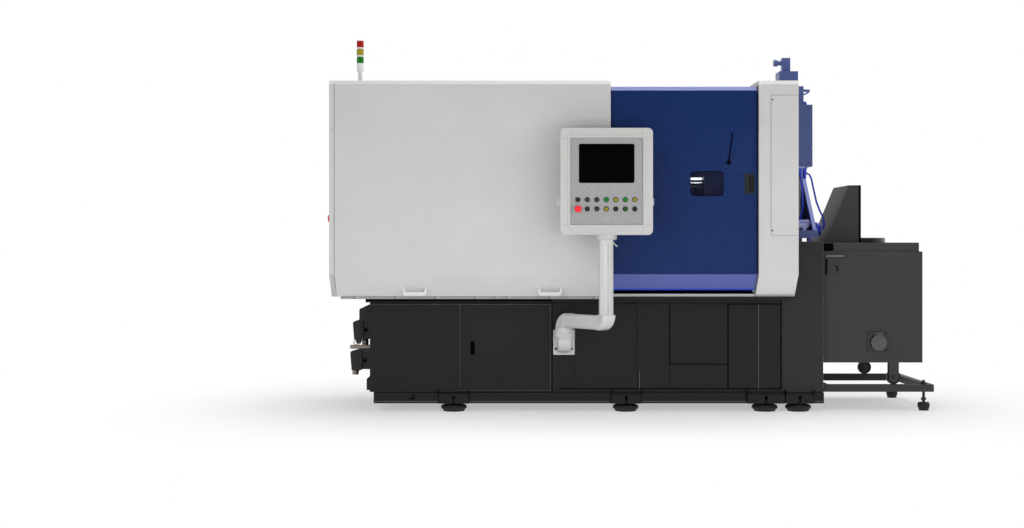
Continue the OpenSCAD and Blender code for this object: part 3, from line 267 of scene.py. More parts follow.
def painted(name, code, roughness, grain=6.0, bump=0.15, mottle=0.03, shine=0.5):
    """Coated metal: grain is the peel's size in millimetres, mottle how far the colour drifts."""
    material, tree, coords = empty_material(name)
    peel = add(tree, "ShaderNodeTexNoise", {"Vector": coords, "Scale": 1 / (grain * MM), "Detail": 2.0})
    drift = add(tree, "ShaderNodeTexNoise", {"Vector": coords, "Scale": MOTTLE_WAVES, "Detail": 3.0, "Roughness": 0.6})
    level = add(tree, "ShaderNodeMapRange", {
        "Value": drift.outputs["Fac"], "From Min": 0.3, "From Max": 0.7, "To Min": 1 - mottle,
        "To Max": 1 + mottle})
    colour = add(tree, "ShaderNodeVectorMath", {
        0: linear(code)[:3], "Scale": level.outputs["Result"]}, operation="SCALE")
    gloss = add(tree, "ShaderNodeMapRange", {
        "Value": drift.outputs["Fac"], "From Min": 0.3, "From Max": 0.7, "To Min": roughness - 0.04,
        "To Max": roughness + 0.04})
    relief = add(tree, "ShaderNodeBump", {"Height": peel.outputs["Fac"], "Strength": bump, "Distance": PEEL_DEPTH})
    show(tree, add(tree, "ShaderNodeBsdfPrincipled", {
        "Base Color": colour.outputs["Vector"], "Roughness": gloss.outputs["Result"],
        "Specular IOR Level": shine, "Normal": relief.outputs["Normal"], "IOR": 1.5}))
    return material


# Covers, column and door rails: polyester powder on folded sheet, an even soft white
white_powder_coat = painted("white_powder_coat", "#c1c1c0", 0.42)
# The same coat painted lighter, as painted light on folds that lean down, where light comes back from the floor
white_coat_painted_light = painted("white_coat_painted_light", "#d6d6d5", 0.42)
# Cast and extruded aluminium of the panel and of its arm: smoother enamel with long low waves
cast_white_enamel = painted("cast_white_enamel", "#b9b9b7", 0.36, grain=9, mottle=0.015)
arm_white_enamel = painted("arm_white_enamel", "#c8c8c6", 0.36, grain=9, mottle=0.015)
# Signal tower's stem and grab handles: the lightest white, nearly without texture
tower_white = painted("tower_white", "#e6e6e4", 0.4, mottle=0.01)
# Strip under the cover and button bezels: a mid grey, which on the strip is painted shade below the white
grey_coat_and_painted_shade = painted("grey_coat_and_painted_shade", "#8f8f90", 0.45)
# Base and cabinets: textured black paint, a little uneven, with a weak shine
black_structure_paint = painted("black_structure_paint", "#171717", 0.42, mottle=0.08, shine=0.3)
# Furnace: heat-proof paint, greyer and duller than the base
charcoal_heat_paint = painted("charcoal_heat_paint", "#353536", 0.55, mottle=0.06, shine=0.3)
# Injection unit: machine enamel, a greyed blue on blocks and frame, and a deeper copy on the platens that is painted
# shade
blue_enamel = painted("blue_enamel", "#48588f", 0.38, mottle=0.05)
platen_blue_painted_shade = painted("platen_blue_painted_shade", "#1c2858", 0.45, mottle=0.05)
# Painted light on the unit: a pale copy of the blue as painted highlight where flanges face the light, and a deep one
# as painted shade on the webs behind
blue_painted_highlight = painted("blue_painted_highlight", "#9ba6e4", 0.3, mottle=0.03)
blue_painted_shade = painted("blue_painted_shade", "#0c1233", 0.5, shine=0.1)
# Pipes and fittings: a glossier and stronger blue
pipe_blue_enamel = painted("pipe_blue_enamel", "#2a41c4", 0.3, mottle=0.03)
# Pedestal under the injection end: the base's paint on plainer plate, a touch lighter
pedestal_paint = painted("pedestal_paint", "#272728", 0.45, mottle=0.05, shine=0.3)
# Folded edges of the safety door: a paler, smoother blue, painted light for the light that the slanted folds catch
door_fold_painted_light = painted("door_fold_painted_light", "#5964a9", 0.4, grain=8, bump=0.05, mottle=0.02)
# Burner port's cover; and a lighter grey for painted highlights along the edges of black sheets, which some small grey
# parts share
port_cover_paint = painted("port_cover_paint", "#4b4b4c", 0.45)
grey_parts_and_painted_highlight = painted("grey_parts_and_painted_highlight", "#5c5c5d", 0.4)
# Gaps, slots and shaded strips in painted shade, which give back no light, also used for real black gaskets; and the
# finer joints between white parts
shadow_black = painted("shadow_black", "#020202", 0.8, shine=0.05)
seam_grey = painted("seam_grey", "#8a8a88", 0.6)
pale_seam_grey = painted("pale_seam_grey", "#abaaa8", 0.6)
print("painted finishes:", len(bpy.data.materials) - 1)

# %% [markdown]
# ## Hammered blue
# The safety door and the rear guard have a hammered finish: paint with a silicone additive that
# draws into small dimples with paler rims. A cell pattern of about 7 mm gives the dimples, and the
# same cells lighten the rims, broken up by a finer grain. The shine is weak, or the lamps would veil
# the deep blue.

# %% Hammered powder coat
HAMMER_DIMPLE, HAMMER_GRAIN = 7.0, 6.0
hammered_blue_coat, tree, coords = empty_material("hammered_blue_coat")
cells = add(tree, "ShaderNodeTexVoronoi", {
    "Vector": coords, "Scale": 1 / (HAMMER_DIMPLE * MM), "Randomness": 1.0}, feature="SMOOTH_F1")
grain = add(tree, "ShaderNodeTexNoise", {
    "Vector": coords, "Scale": 1 / (HAMMER_GRAIN * MM), "Detail": 3.0, "Roughness": 0.7})
mixed = add(tree, "ShaderNodeMath", {0: cells.outputs["Distance"], 1: grain.outputs["Fac"]}, operation="ADD")
ramp = add(tree, "ShaderNodeValToRGB", {"Fac": mixed.outputs[0]})
for stop, position, code in zip(ramp.color_ramp.elements, (0.55, 1.0), ("#05183e", "#0d2a60")):
    stop.position, stop.color = position, linear(code)
relief = add(tree, "ShaderNodeBump", {"Height": cells.outputs["Distance"], "Strength": 0.35, "Distance": 0.0009})
show(tree, add(tree, "ShaderNodeBsdfPrincipled", {
    "Base Color": ramp.outputs["Color"], "Roughness": 0.34, "Specular IOR Level": 0.2,
    "Normal": relief.outputs["Normal"], "IOR": 1.5}))

# %% [markdown]
# ## Plastics, rubber, glass and bare metal
# Push-buttons, connectors and lenses are moulded plastic: an even colour with a light texture. The
# lenses are a clear coloured plastic round a dark inside, so they look deeper than a painted disc.
# Bare metal keeps the default IOR, and its turned or ground marks stretch along one direction.

# %% Moulded plastics and rubber
def moulded(name, code, roughness, texture=3.0, bump=0.1):
    """Injection-moulded plastic or rubber, with an eroded texture of a few millimetres."""
    material, tree, coords = empty_material(name)
    erosion = add(tree, "ShaderNodeTexNoise", {"Vector": coords, "Scale": 1 / (texture * MM), "Detail": 3.0})
    relief = add(tree, "ShaderNodeBump", {"Height": erosion.outputs["Fac"], "Strength": bump, "Distance": 0.0003})
    shade = add(tree, "ShaderNodeMapRange", {"Value": erosion.outputs["Fac"], "To Min": 0.92, "To Max": 1.08})
    colour = add(tree, "ShaderNodeVectorMath", {
        0: linear(code)[:3], "Scale": shade.outputs["Result"]}, operation="SCALE")
    show(tree, add(tree, "ShaderNodeBsdfPrincipled", {
        "Base Color": colour.outputs["Vector"], "Roughness": roughness, "Normal": relief.outputs["Normal"],
        "IOR": 1.46}))
    return material


# Connector hoods, button collars and the door's pull: glass-filled nylon, a dull black
black_polyamide = moulded("black_polyamide", "#1b1c1d", 0.45)
# Levelling feet: grained black rubber
foot_rubber = moulded("foot_rubber", "#1c1c1e", 0.6, texture=5, bump=0.3)
# Button caps: smooth and shiny, each in the colour of what it does
red_button_plastic = moulded("red_button_plastic", "#e8202c", 0.28, bump=0.03)
green_button_plastic = moulded("green_button_plastic", "#067a14", 0.3, bump=0.03)
yellow_button_plastic = moulded("yellow_button_plastic", "#8e8208", 0.3, bump=0.03)
dark_button_plastic = moulded("dark_button_plastic", "#2e2f33", 0.35, bump=0.03)
print("materials so far:", len(bpy.data.materials))

# %% Lenses, glass and the screen
def lens_plastic(name, code):
    """Ribbed coloured lens: part of the light passes and comes back from inside."""
    material, tree, coords = empty_material(name)
    haze = add(tree, "ShaderNodeTexNoise", {"Vector": coords, "Scale": 1 / (14 * MM)})
    relief = add(tree, "ShaderNodeBump", {"Height": haze.outputs["Fac"], "Strength": 0.1, "Distance": 0.0004})
    show(tree, add(tree, "ShaderNodeBsdfPrincipled", {
        "Base Color": linear(code), "Roughness": 0.16, "IOR": 1.49, "Transmission Weight": 0.05,
        "Normal": relief.outputs["Normal"]}))
    return material


red_lens = lens_plastic("red_lens", "#a80a0c")
amber_lens = lens_plastic("amber_lens", "#a3941c")
green_lens = lens_plastic("green_lens", "#08781c")

# Door's pane: clear sheet with faint wipe marks. The IOR is below the real 1.58, so that the bright
# room doesn't veil what is behind it
clear_polycarbonate, tree, coords = empty_material("clear_polycarbonate")
wipe = add(tree, "ShaderNodeTexNoise", {"Vector": coords, "Scale": 9.0, "Detail": 2.0})
smear = add(tree, "ShaderNodeMapRange", {"Value": wipe.outputs["Fac"], "To Min": 0.0, "To Max": 0.03})
show(tree, add(tree, "ShaderNodeBsdfPrincipled", {
    "Base Color": linear("#f2f5f7"), "Roughness": smear.outputs["Result"], "IOR": 1.12,
    "Transmission Weight": 1.0}))

# A display that is off: black behind a hard smooth front
screen_glass, tree, coords = empty_material("screen_glass")
glow = add(tree, "ShaderNodeTexNoise", {"Vector": coords, "Scale": 4.0})
depth = add(tree, "ShaderNodeMapRange", {"Value": glow.outputs["Fac"], "To Min": 0.8, "To Max": 1.2})
tint = add(tree, "ShaderNodeVectorMath", {
    0: linear("#020203")[:3], "Scale": depth.outputs["Result"]}, operation="SCALE")
show(tree, add(tree, "ShaderNodeBsdfPrincipled", {
    "Base Color": tint.outputs["Vector"], "Roughness": 0.12, "Specular IOR Level": 0.08, "IOR": 1.5}))
print("materials so far:", len(bpy.data.materials))


# %% Bare metal
def bare_metal(name, code, roughness, stretch=(1, 1, 1), mark=2.0):
    """Machined metal: marks of a given size in millimetres, stretched along the tool's way."""
    material, tree, coords = empty_material(name)
    turned = add(tree, "ShaderNodeMapping", {"Vector": coords, "Scale": stretch})
    marks = add(tree, "ShaderNodeTexNoise", {
        "Vector": turned.outputs["Vector"], "Scale": 1 / (mark * MM), "Detail": 4.0})
    gloss = add(tree, "ShaderNodeMapRange", {
        "Value": marks.outputs["Fac"], "To Min": roughness - 0.08, "To Max": roughness + 0.1})
    relief = add(tree, "ShaderNodeBump", {"Height": marks.outputs["Fac"], "Strength": 0.1, "Distance": 0.0002})
    show(tree, add(tree, "ShaderNodeBsdfPrincipled", {
        "Base Color": linear(code), "Metallic": 1.0, "Roughness": gloss.outputs["Result"],
        "Normal": relief.outputs["Normal"]}))
    return material


# Tie bars and guide rods: ground and chromed, with a soft streak along the bar
chromed_bar = bare_metal("chromed_bar", "#c9ccd0", 0.2, stretch=(0.1, 1, 1))
# Rim of the melting pot: rubbed bright in a ring
bright_ring = bare_metal("bright_ring", "#4c4c4e", 0.26, stretch=(1, 1, 0.1), mark=4)
# Wheels, nuts and screws: turned steel, dulled by oil and heat
turned_steel = bare_metal("turned_steel", "#4a4a4c", 0.42, mark=3)
# Cable glands and their clamp bar: nickel plate, slightly warm in tone
warm_nickel = bare_metal("warm_nickel", "#a89c90", 0.38)
print("materials:", len(bpy.data.materials))

# %% Speckled panel coat
# Front plate: two-tone splatter paint. Its real specks are under 2 mm, and are drawn at 5 mm to show
SPECKLE = 5.0
speckled_grey_coat, tree, coords = empty_material("speckled_grey_coat")
dots = add(tree, "ShaderNodeTexNoise", {"Vector": coords, "Scale": 1 / (SPECKLE * MM), "Detail": 4.0, "Roughness": 0.8})
ramp = add(tree, "ShaderNodeValToRGB", {"Fac": dots.outputs["Fac"]})
for stop, position, code in zip(ramp.color_ramp.elements, (0.36, 0.62), ("#878788", "#a0a0a0")):
    stop.position, stop.color = position, linear(code)
relief = add(tree, "ShaderNodeBump", {"Height": dots.outputs["Fac"], "Strength": 0.15, "Distance": 0.0004})
show(tree, add(tree, "ShaderNodeBsdfPrincipled", {
    "Base Color": ramp.outputs["Color"], "Roughness": 0.5, "Normal": relief.outputs["Normal"]}))

# %% [markdown]
# ## Dressing the CAD parts
# Sheet metal and castings never have knife edges, and it is the thin light on a rounded edge that
# makes a form read as real. Each part is copied, its triangles are merged back into flat faces, and a
# Bevel modifier rounds every sharp edge. The copy then stands in for the part.

# %% Copy, merge and round
WELD = 0.00002  # metres: corners of the loose triangles that are nearer than this are one
FLAT = math.radians(0.3)  # triangles that meet at less than this lie in one face
SHARP = math.radians(35)  # edges sharper than this are rounded and shade as edges


def body_of(node):
    """The body that a CAD node rides on."""
    return frame["nodes"][node]["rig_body"]


def link(piece, body):
    """Puts a finished piece in the scene, on its body."""
    bpy.context.scene.collection.objects.link(piece)
    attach(piece, body)
    return piece


def round_edges(piece, edge, segments, angle):
    """Adds a Bevel for edges sharper than an angle; edge is its width in millimetres."""
    bevel = piece.modifiers.new("edges", "BEVEL")
    bevel.width = edge * MM
    bevel.segments = segments
    bevel.limit_method = "ANGLE"
    bevel.angle_limit = angle
    return bevel


def dress(node, material, edge, zones=()):
    """A copy of a CAD node with rounded edges (edge in millimetres) that stands in for it.

    zones are pairs of a test and a further finish. The test takes a face's centre, in machine
    millimetres, and its normal.
    """
    mesh = bpy.data.meshes.new(node + "_finished")
    bm = bmesh.new()
    bm.from_mesh(frame["nodes"][node].data)
    bmesh.ops.remove_doubles(bm, verts=bm.verts, dist=WELD)
    bmesh.ops.dissolve_limit(bm, angle_limit=FLAT, verts=bm.verts, edges=bm.edges)
    bm.normal_update()
    for face in bm.faces:
        face.smooth = True
        centre = (face.calc_center_median() - ORIGIN) / MM
        face.material_index = next((i for i, zone in enumerate(zones, 1) if zone[0](centre, face.normal)), 0)
    bm.to_mesh(mesh)
    bm.free()
    for finish in (material, *(zone[1] for zone in zones)):
        mesh.materials.append(finish)
    mesh.set_sharp_from_angle(angle=SHARP)
    piece = bpy.data.objects.new(node + "_finished", mesh)
    if edge:
        round_edges(piece, edge, 2, SHARP).harden_normals = True
    link(piece, body_of(node))
    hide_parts(node)
    return piece


# %% Finishes of the parts
def on_brace(centre):
    """True on the two side braces of the injection frame."""
    return 1130 < centre.z < 1490


def on_shifter(centre):
    """True on the cylinder that shifts the unit, which lies in front of the bare rods."""
    return centre.y < -78


# Painted light: the folded edges of door and covers lean to the floor or to the sky, and get a paler paint for the
# light they catch
DOOR_PAINTED_LIGHT_ZONES = [(lambda c, n: n.y < -0.1 and abs(n.z) > 0.2, door_fold_painted_light)]
WHITE_PAINTED_LIGHT_ZONES = [(lambda c, n: n.y < -0.1 and n.z < -0.2, white_coat_painted_light)]
# Side braces, painted light by face: painted highlight on the flange in front, the pipes' stronger blue on the flank,
# painted shade on the web behind
FRAME_PAINTED_LIGHT_ZONES = [(lambda c, n: on_brace(c) and n.y < -0.9 and c.y < -80, blue_painted_highlight),
               (lambda c, n: on_brace(c) and n.x < -0.5, pipe_blue_enamel),
               (lambda c, n: on_brace(c) and n.y < -0.9, blue_painted_shade)]
# Shifting cylinder, painted light by face: stronger blue at its end and on top, a white painted reflection below, a
# pale painted highlight in front
ROD_PAINTED_LIGHT_ZONES = [(lambda c, n: on_shifter(c) and c.x > 3018, pipe_blue_enamel),
             (lambda c, n: on_shifter(c) and n.z < -0.2 and n.y < -0.3 and abs(n.x) < 0.1, white_coat_painted_light),
             (lambda c, n: on_shifter(c) and n.z > 0.85, pipe_blue_enamel),
             (lambda c, n: on_shifter(c), blue_painted_highlight)]
# For each node its finish, how far its edges are rounded in millimetres, and its zones
FINISHES = {
    "base_frame": (black_structure_paint, 3), "base_panels": (black_structure_paint, 1.2),
    "end_pedestal": (pedestal_paint, 3), "levelling_feet": (foot_rubber, 1),
    "hydraulic_cabinet": (black_structure_paint, 2.5), "hydraulic_door": (black_structure_paint, 2),
    "end_connectors": (black_polyamide, 1.5), "end_stop_button": (red_button_plastic, 1),
    "guard_front": (white_powder_coat, 1.5, WHITE_PAINTED_LIGHT_ZONES), "guard_end": (white_powder_coat, 2.5),
    "guard_rear": (white_powder_coat, 1.5), "cover_rail": (grey_coat_and_painted_shade, 1),
    "grab_handles": (tower_white, 4), "column_cover": (white_powder_coat, 2, WHITE_PAINTED_LIGHT_ZONES),
    "column_access_panel": (white_powder_coat, 1), "safety_door": (hammered_blue_coat, 2, DOOR_PAINTED_LIGHT_ZONES),
    "door_window": (clear_polycarbonate, 0.5), "door_pull": (black_polyamide, 1),
    "door_rod": (shadow_black, 0.8), "rear_guard": (hammered_blue_coat, 2),
    "door_rails": (white_powder_coat, 1.5), "tie_bars": (chromed_bar, 3),
    # The platens take the deeper blue that is painted shade
    "fixed_platen": (platen_blue_painted_shade, 4), "clamp_platens": (platen_blue_painted_shade, 4),
    "arm_bracket": (arm_white_enamel, 1.5), "swivel_arm": (arm_white_enamel, 1.5),
    "clamp_lever": (cast_white_enamel, 1), "panel_housing": (cast_white_enamel, 4),
    "panel_plate": (speckled_grey_coat, 0.5), "panel_screen": (screen_glass, 0.5),
    "tower_stem": (tower_white, 1), "tower_red": (red_lens, 1),
    "tower_amber": (amber_lens, 1), "tower_green": (green_lens, 1),
    "injection_frame": (blue_enamel, 2.5, FRAME_PAINTED_LIGHT_ZONES), "injection_cylinder": (blue_enamel, 2.5),
    "injection_rods": (chromed_bar, 1, ROD_PAINTED_LIGHT_ZONES), "injection_pipes": (pipe_blue_enamel, 0),
    "furnace_body": (charcoal_heat_paint, 2.5), "furnace_hood": (charcoal_heat_paint, 1),
    "near_wheel": (turned_steel, 1), "far_wheel": (turned_steel, 1), "rear_wheelset": (turned_steel, 1),
    "rail_frame": (charcoal_heat_paint, 2.5),
}
dressed = {node: dress(node, *finish) for node, finish in FINISHES.items()}
print("dressed parts:", len(dressed), "left out:", sorted(set(frame["nodes"]) - set(dressed)))

# %% [markdown]
# ## Small parts
# What is too fine for the CAD source is built here from a few kinds of shape: a box, a turned
# profile, a rod along a line, a collar round a tube and an edge round an outline. Each is a skin over
# rings of points, in machine millimetres. Every small part on one body goes into one mesh, with a
# material for each shape.

# %% Outlines and rings
def rounded(cx, cz, width, height, radius, steps=5):
    """Outline of a rounded rectangle in X and Z."""
    points = []
    for quarter, (sx, sz) in enumerate([(1, 1), (-1, 1), (-1, -1), (1, -1)]):
        for k in range(steps + 1):
            angle = math.pi / 2 * (quarter + k / steps)
            points.append((cx + sx * (width / 2 - radius) + radius * math.cos(angle),
                           cz + sz * (height / 2 - radius) + radius * math.sin(angle)))
    return points


def ring_points(profile, axis, sides):
    """Rings about an axis through the origin, one for each (radius, height) pair of a profile."""
    turn = Vector((0, 0, 1)).rotation_difference(Vector(axis)).to_matrix()
    return [turn @ Vector((r * math.cos(2 * math.pi * k / sides), r * math.sin(2 * math.pi * k / sides), h))
            for r, h in profile for k in range(sides)]


def ring_faces(rings, count):
    """Corners of the faces between rings that have count points each."""
    return [(r * count + k, r * count + (k + 1) % count, (r + 1) * count + (k + 1) % count, (r + 1) * count + k)
            for r in range(rings - 1) for k in range(count)]


def on_face(face, proud=0.4, deep=1):
    """Depth of a thin line on a face that looks to the front: from a little before it to just inside."""
    return face - proud, face + deep


print("points in a rounded outline:", len(rounded(0, 0, 2, 2, 1)))


# %% Shape builders
class Detail:
    """Collects shapes for one mesh that rides on one body."""

    def __init__(self, name, body):
        self.name, self.body = name, body
        self.bm = bmesh.new()
        self.materials = []

    def paint(self, faces, material):
        """Gives faces a finish and lets them shade smoothly."""
        if material not in self.materials:
            self.materials.append(material)
        for face in faces:
            face.material_index = self.materials.index(material)
            face.smooth = True

    def skin(self, points, rings):
        """Faces between rings of points; each ring has the same number of points."""
        verts = [self.bm.verts.new(place(*p)) for p in points]
        corners = ring_faces(rings, len(points) // rings)
        return verts, [self.bm.faces.new([verts[i] for i in face]) for face in corners]

    def solid(self, points, rings, material):
        """Skin over rings of points that is closed at both ends."""
        verts, faces = self.skin(points, rings)
        count = len(points) // rings
        faces += [self.bm.faces.new(verts[:count][::-1]), self.bm.faces.new(verts[-count:])]
        bmesh.ops.recalc_face_normals(self.bm, faces=faces)
        self.paint(faces, material)

    def rim(self, low, high, rings, material):
        """Edge round a box's front; a ring is how far its outline is grown, its corner and its depth."""
        points = [(x, depth, z) for grow, radius, depth in rings
                  for x, z in rounded((low.x + high.x) / 2, (low.z + high.z) / 2, high.x - low.x + grow,
                                      high.z - low.z + grow, radius)]
        self.paint(self.skin(points, len(rings))[1], material)

    def box(self, x, y, z, material):
        """Box between two values on each axis."""
        ring = [(x[0], y[0]), (x[1], y[0]), (x[1], y[1]), (x[0], y[1])]
        self.solid([(a, b, h) for h in z for a, b in ring], 2, material)

    def turned(self, centre, axis, profile, material, sides=28):
        """Profile of (radius, height) pairs, turned about an axis through the centre."""
        points = [tuple(Vector(centre) + spot) for spot in ring_points(profile, axis, sides)]
        self.solid(points, len(profile), material)

    def rod(self, line, radius, material, sides=10):
        """Round rod along a line of points."""
        line = [Vector(p) for p in line]
        points = []
        side = None
        for i, spot in enumerate(line):
            ahead = (line[min(i + 1, len(line) - 1)] - line[max(i - 1, 0)]).normalized()
            side = side or (Vector((0, 0, 1)) if abs(ahead.z) < 0.9 else Vector((0, 1, 0)))
            across = ahead.cross(side).normalized()
            upward = across.cross(ahead).normalized()
            for k in range(sides):
                angle = 2 * math.pi * k / sides
                points.append(tuple(spot + radius * (math.cos(angle) * across + math.sin(angle) * upward)))
        self.solid(points, len(line), material)

    def band(self, centre, along, width, radius, depth, material):
        """Thin collar round a rounded square tube that runs along a direction."""
        along = Vector(along).normalized()
        side = Vector((along.y, -along.x, 0)).normalized() if abs(along.z) < 0.9 else Vector((1, 0, 0))
        over = along.cross(side)
        points = [tuple(Vector(centre) + along * d + side * a + over * b)
                  for d in (-depth / 2, depth / 2) for a, b in rounded(0, 0, width, width, radius)]
        self.solid(points, 2, material)

    def finish(self, edge=0.6):
        """Makes the mesh, rounds its edges (edge in millimetres) and puts it on its body."""
        mesh = bpy.data.meshes.new(self.name)
        self.bm.to_mesh(mesh)
        self.bm.free()
        for material in self.materials:
            mesh.materials.append(material)
        mesh.set_sharp_from_angle(angle=SHARP)
        piece = bpy.data.objects.new(self.name, mesh)
        if edge:
            round_edges(piece, edge, 1, math.radians(40))
        print(self.name, "faces:", len(mesh.polygons), "finishes:", len(mesh.materials))
        return link(piece, self.body)


# %% [markdown]
# ## One head, many places
# Screw heads, bolts and nuts repeat. A Geometry Nodes group sets one head on every point of a
# mesh of loose points, makes the copies real and gives them their finish. The result is stored as
# a plain mesh, so nothing is left to work out later.

# %% Geometry Nodes group for repeats
repeat = bpy.data.node_groups.new("heads_on_points", "GeometryNodeTree")
repeat.interface.new_socket("Geometry", in_out="OUTPUT", socket_type="NodeSocketGeometry")
SOCKETS = {}
for label, kind in [("Geometry", "NodeSocketGeometry"), ("Head", "NodeSocketObject"), ("Size", "NodeSocketFloat"),
                    ("Finish", "NodeSocketMaterial")]:
    SOCKETS[label] = repeat.interface.new_socket(label, in_out="INPUT", socket_type=kind).identifier
given = repeat.nodes.new("NodeGroupInput").outputs
head_shape = add(repeat, "GeometryNodeObjectInfo", {"Object": given["Head"]})
spots = add(repeat, "GeometryNodeMeshToPoints", {"Mesh": given["Geometry"]})
copies = add(repeat, "GeometryNodeInstanceOnPoints", {
    "Points": spots.outputs[0], "Instance": head_shape.outputs["Geometry"], "Scale": given["Size"]})
real = add(repeat, "GeometryNodeRealizeInstances", {0: copies.outputs[0]})
finished = add(repeat, "GeometryNodeSetMaterial", {"Geometry": real.outputs[0], "Material": given["Finish"]})
add(repeat, "NodeGroupOutput", {0: finished.outputs[0]})


def head_object(profile, axis, sides=14):
    """A small turned head at the origin, its profile in millimetres along the axis."""
    faces = ring_faces(len(profile), sides)
    faces += [tuple(range(sides))[::-1], tuple(range((len(profile) - 1) * sides, len(profile) * sides))]
    mesh = bpy.data.meshes.new("head")
    mesh.from_pydata([point * MM for point in ring_points(profile, axis, sides)], [], faces)
    for polygon in mesh.polygons:
        polygon.use_smooth = True
    mesh.set_sharp_from_angle(angle=SHARP)
    return bpy.data.objects.new("head", mesh)


def scatter(name, profile, axis, places, finish, body="root", size=1.0):
    """Sets a turned head on every place and keeps the result as a plain mesh on a body."""
    mesh = bpy.data.meshes.new(name)
    mesh.from_pydata([place(*p) for p in places], [], [])
    piece = bpy.data.objects.new(name, mesh)
    head = head_object(profile, axis)
    bpy.context.scene.collection.objects.link(piece)
    bpy.context.scene.collection.objects.link(head)
    nodes = piece.modifiers.new("repeat", "NODES")
    nodes.node_group = repeat
    nodes[SOCKETS["Head"]] = head
    nodes[SOCKETS["Size"]] = size
    nodes[SOCKETS["Finish"]] = finish
    bpy.context.view_layer.update()
    graph = bpy.context.evaluated_depsgraph_get()
    plain = bpy.data.meshes.new_from_object(piece.evaluated_get(graph))
    piece.modifiers.clear()
    piece.data = plain
    bpy.data.objects.remove(head)
    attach(piece, body)
    print(name, "places:", len(places), "faces:", len(plain.polygons))
    return piece


# Button head with a socket: the last two pairs go down into the recess
SCREW = [(5.2, 0), (5.2, 1.2), (4.2, 2.6), (2.6, 3.2), (2.4, 1.4), (0.1, 1.4)]
HEX_BOLT = [(13, 0), (13, 7), (11.5, 8.4), (0.1, 8.4)]
FRONT, BACK, RIGHT, UP = (0, -1, 0), (0, 1, 0), (1, 0, 0), (0, 0, 1)
print("repeat group sockets:", SOCKETS)

# %% [markdown]
# ## Control panel
# The real panel is a frame of four extrusions with moulded corners, a speckled front plate, a display
# and two rows of 22 mm push-buttons. A push-button has a grey bezel, a dark collar and a coloured cap
# that is slightly domed. The red one is the emergency stop, a mushroom on a yellow base, and one is a
# two-way selector with a lit green bar.

# %% Push-buttons
BUTTON_PITCH, CAP_RADIUS, STOP_RADIUS = 55.0, 14.5, 20
BEZEL = [(16, 0), (16, 1.2), (15, 2)]
COLLAR = [(14.5, 1.8), (14.5, 6), (13, 7.5), (11.2, 7.5), (11.2, 5)]
CAP = [(10.8, 5), (10.8, 10), (9.6, 11.6), (5, 12.4), (0.1, 12.5)]
STOP_BASE = [(15, 0), (15, 9), (11, 11), (11, 19)]
STOP_MUSHROOM = [(14, 19), (19, 22), (20, 25), (20, 29), (16, 33), (6, 34), (0.1, 34)]
SELECTOR = (1, 5)  # its row and column; the colour there is that of its lit bar
CAP_COLOURS = [
    [black_polyamide, dark_button_plastic, dark_button_plastic, green_button_plastic, yellow_button_plastic,
     green_button_plastic, yellow_button_plastic],
    [red_button_plastic, black_polyamide, dark_button_plastic, yellow_button_plastic, black_polyamide,
     green_button_plastic, black_polyamide],
]
plate_face = machine_box("panel_plate")[0].y
caps_low, caps_high = machine_box("panel_buttons")
first_x = caps_high.x - CAP_RADIUS - 6 * BUTTON_PITCH
upper_z, lower_z = caps_high.z - CAP_RADIUS, caps_low.z + STOP_RADIUS
buttons = Detail("panel_buttons_finished", body_of("panel_buttons"))
for row, z in enumerate([upper_z, lower_z]):
    for column, colour in enumerate(CAP_COLOURS[row]):
        x, selector = first_x + column * BUTTON_PITCH, (row, column) == SELECTOR
        shapes = [(BEZEL, grey_coat_and_painted_shade), (COLLAR, black_polyamide), (CAP, black_polyamide if selector else colour)]
        if colour is red_button_plastic:
            shapes = [(STOP_BASE, yellow_button_plastic), (STOP_MUSHROOM, colour)]
        for profile, finish in shapes:
            buttons.turned((x, plate_face, z), FRONT, profile, finish)
        if selector:
            buttons.box((x - 3.2, x + 3.2), (plate_face - 15, plate_face - 8), (z - 10, z + 10), colour)
piece = buttons.finish(0.4)
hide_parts("panel_buttons")

# %% Frame seams and display edge
CORNER, LINE = 57.0, 1.6  # side of a moulded corner and width of a seam
HALF_FRAME, FRAME_HEIGHT = 268.5, 621
frame_low, frame_high = machine_box("panel_housing")
screen_low, screen_high = machine_box("panel_screen")
middle_x = first_x + 3 * BUTTON_PITCH + 2
panel_x = [middle_x - HALF_FRAME, middle_x + HALF_FRAME]
panel_z = [frame_high.z - FRAME_HEIGHT, frame_high.z]
seam_y = (frame_low.y + 3.6, frame_low.y + 4.6)
trim = Detail("panel_trim", body_of("panel_housing"))
for x in (panel_x[0] + CORNER + 5, panel_x[1] - CORNER - 5):
    for low, high in ((panel_z[1] - CORNER + 4, panel_z[1] - 6), (panel_z[0] + 6, panel_z[0] + CORNER - 4)):
        trim.box((x - LINE / 2, x + LINE / 2), seam_y, (low, high), seam_grey)
for z in (panel_z[1] - CORNER - 5, panel_z[0] + CORNER + 5):
    for low, high in ((panel_x[0] + 6, panel_x[0] + CORNER - 4), (panel_x[1] - CORNER + 4, panel_x[1] - 6)):
        trim.box((low, high), seam_y, (z - LINE / 2, z + LINE / 2), seam_grey)
glass = screen_low.y
trim.rim(screen_low, screen_high, [(5, 9, glass - 0.2), (5, 9, glass - 1.6), (-3, 5, glass - 1.6),
                                   (-3, 5, glass - 0.4)], shadow_black)
trim.finish(0)

# %% [markdown]
# ## Support arm
# The arm is a bought kit of aluminium tube and cast corners. Real tubes show a raised key line along
# the profile and a shadow gap where a casting starts.

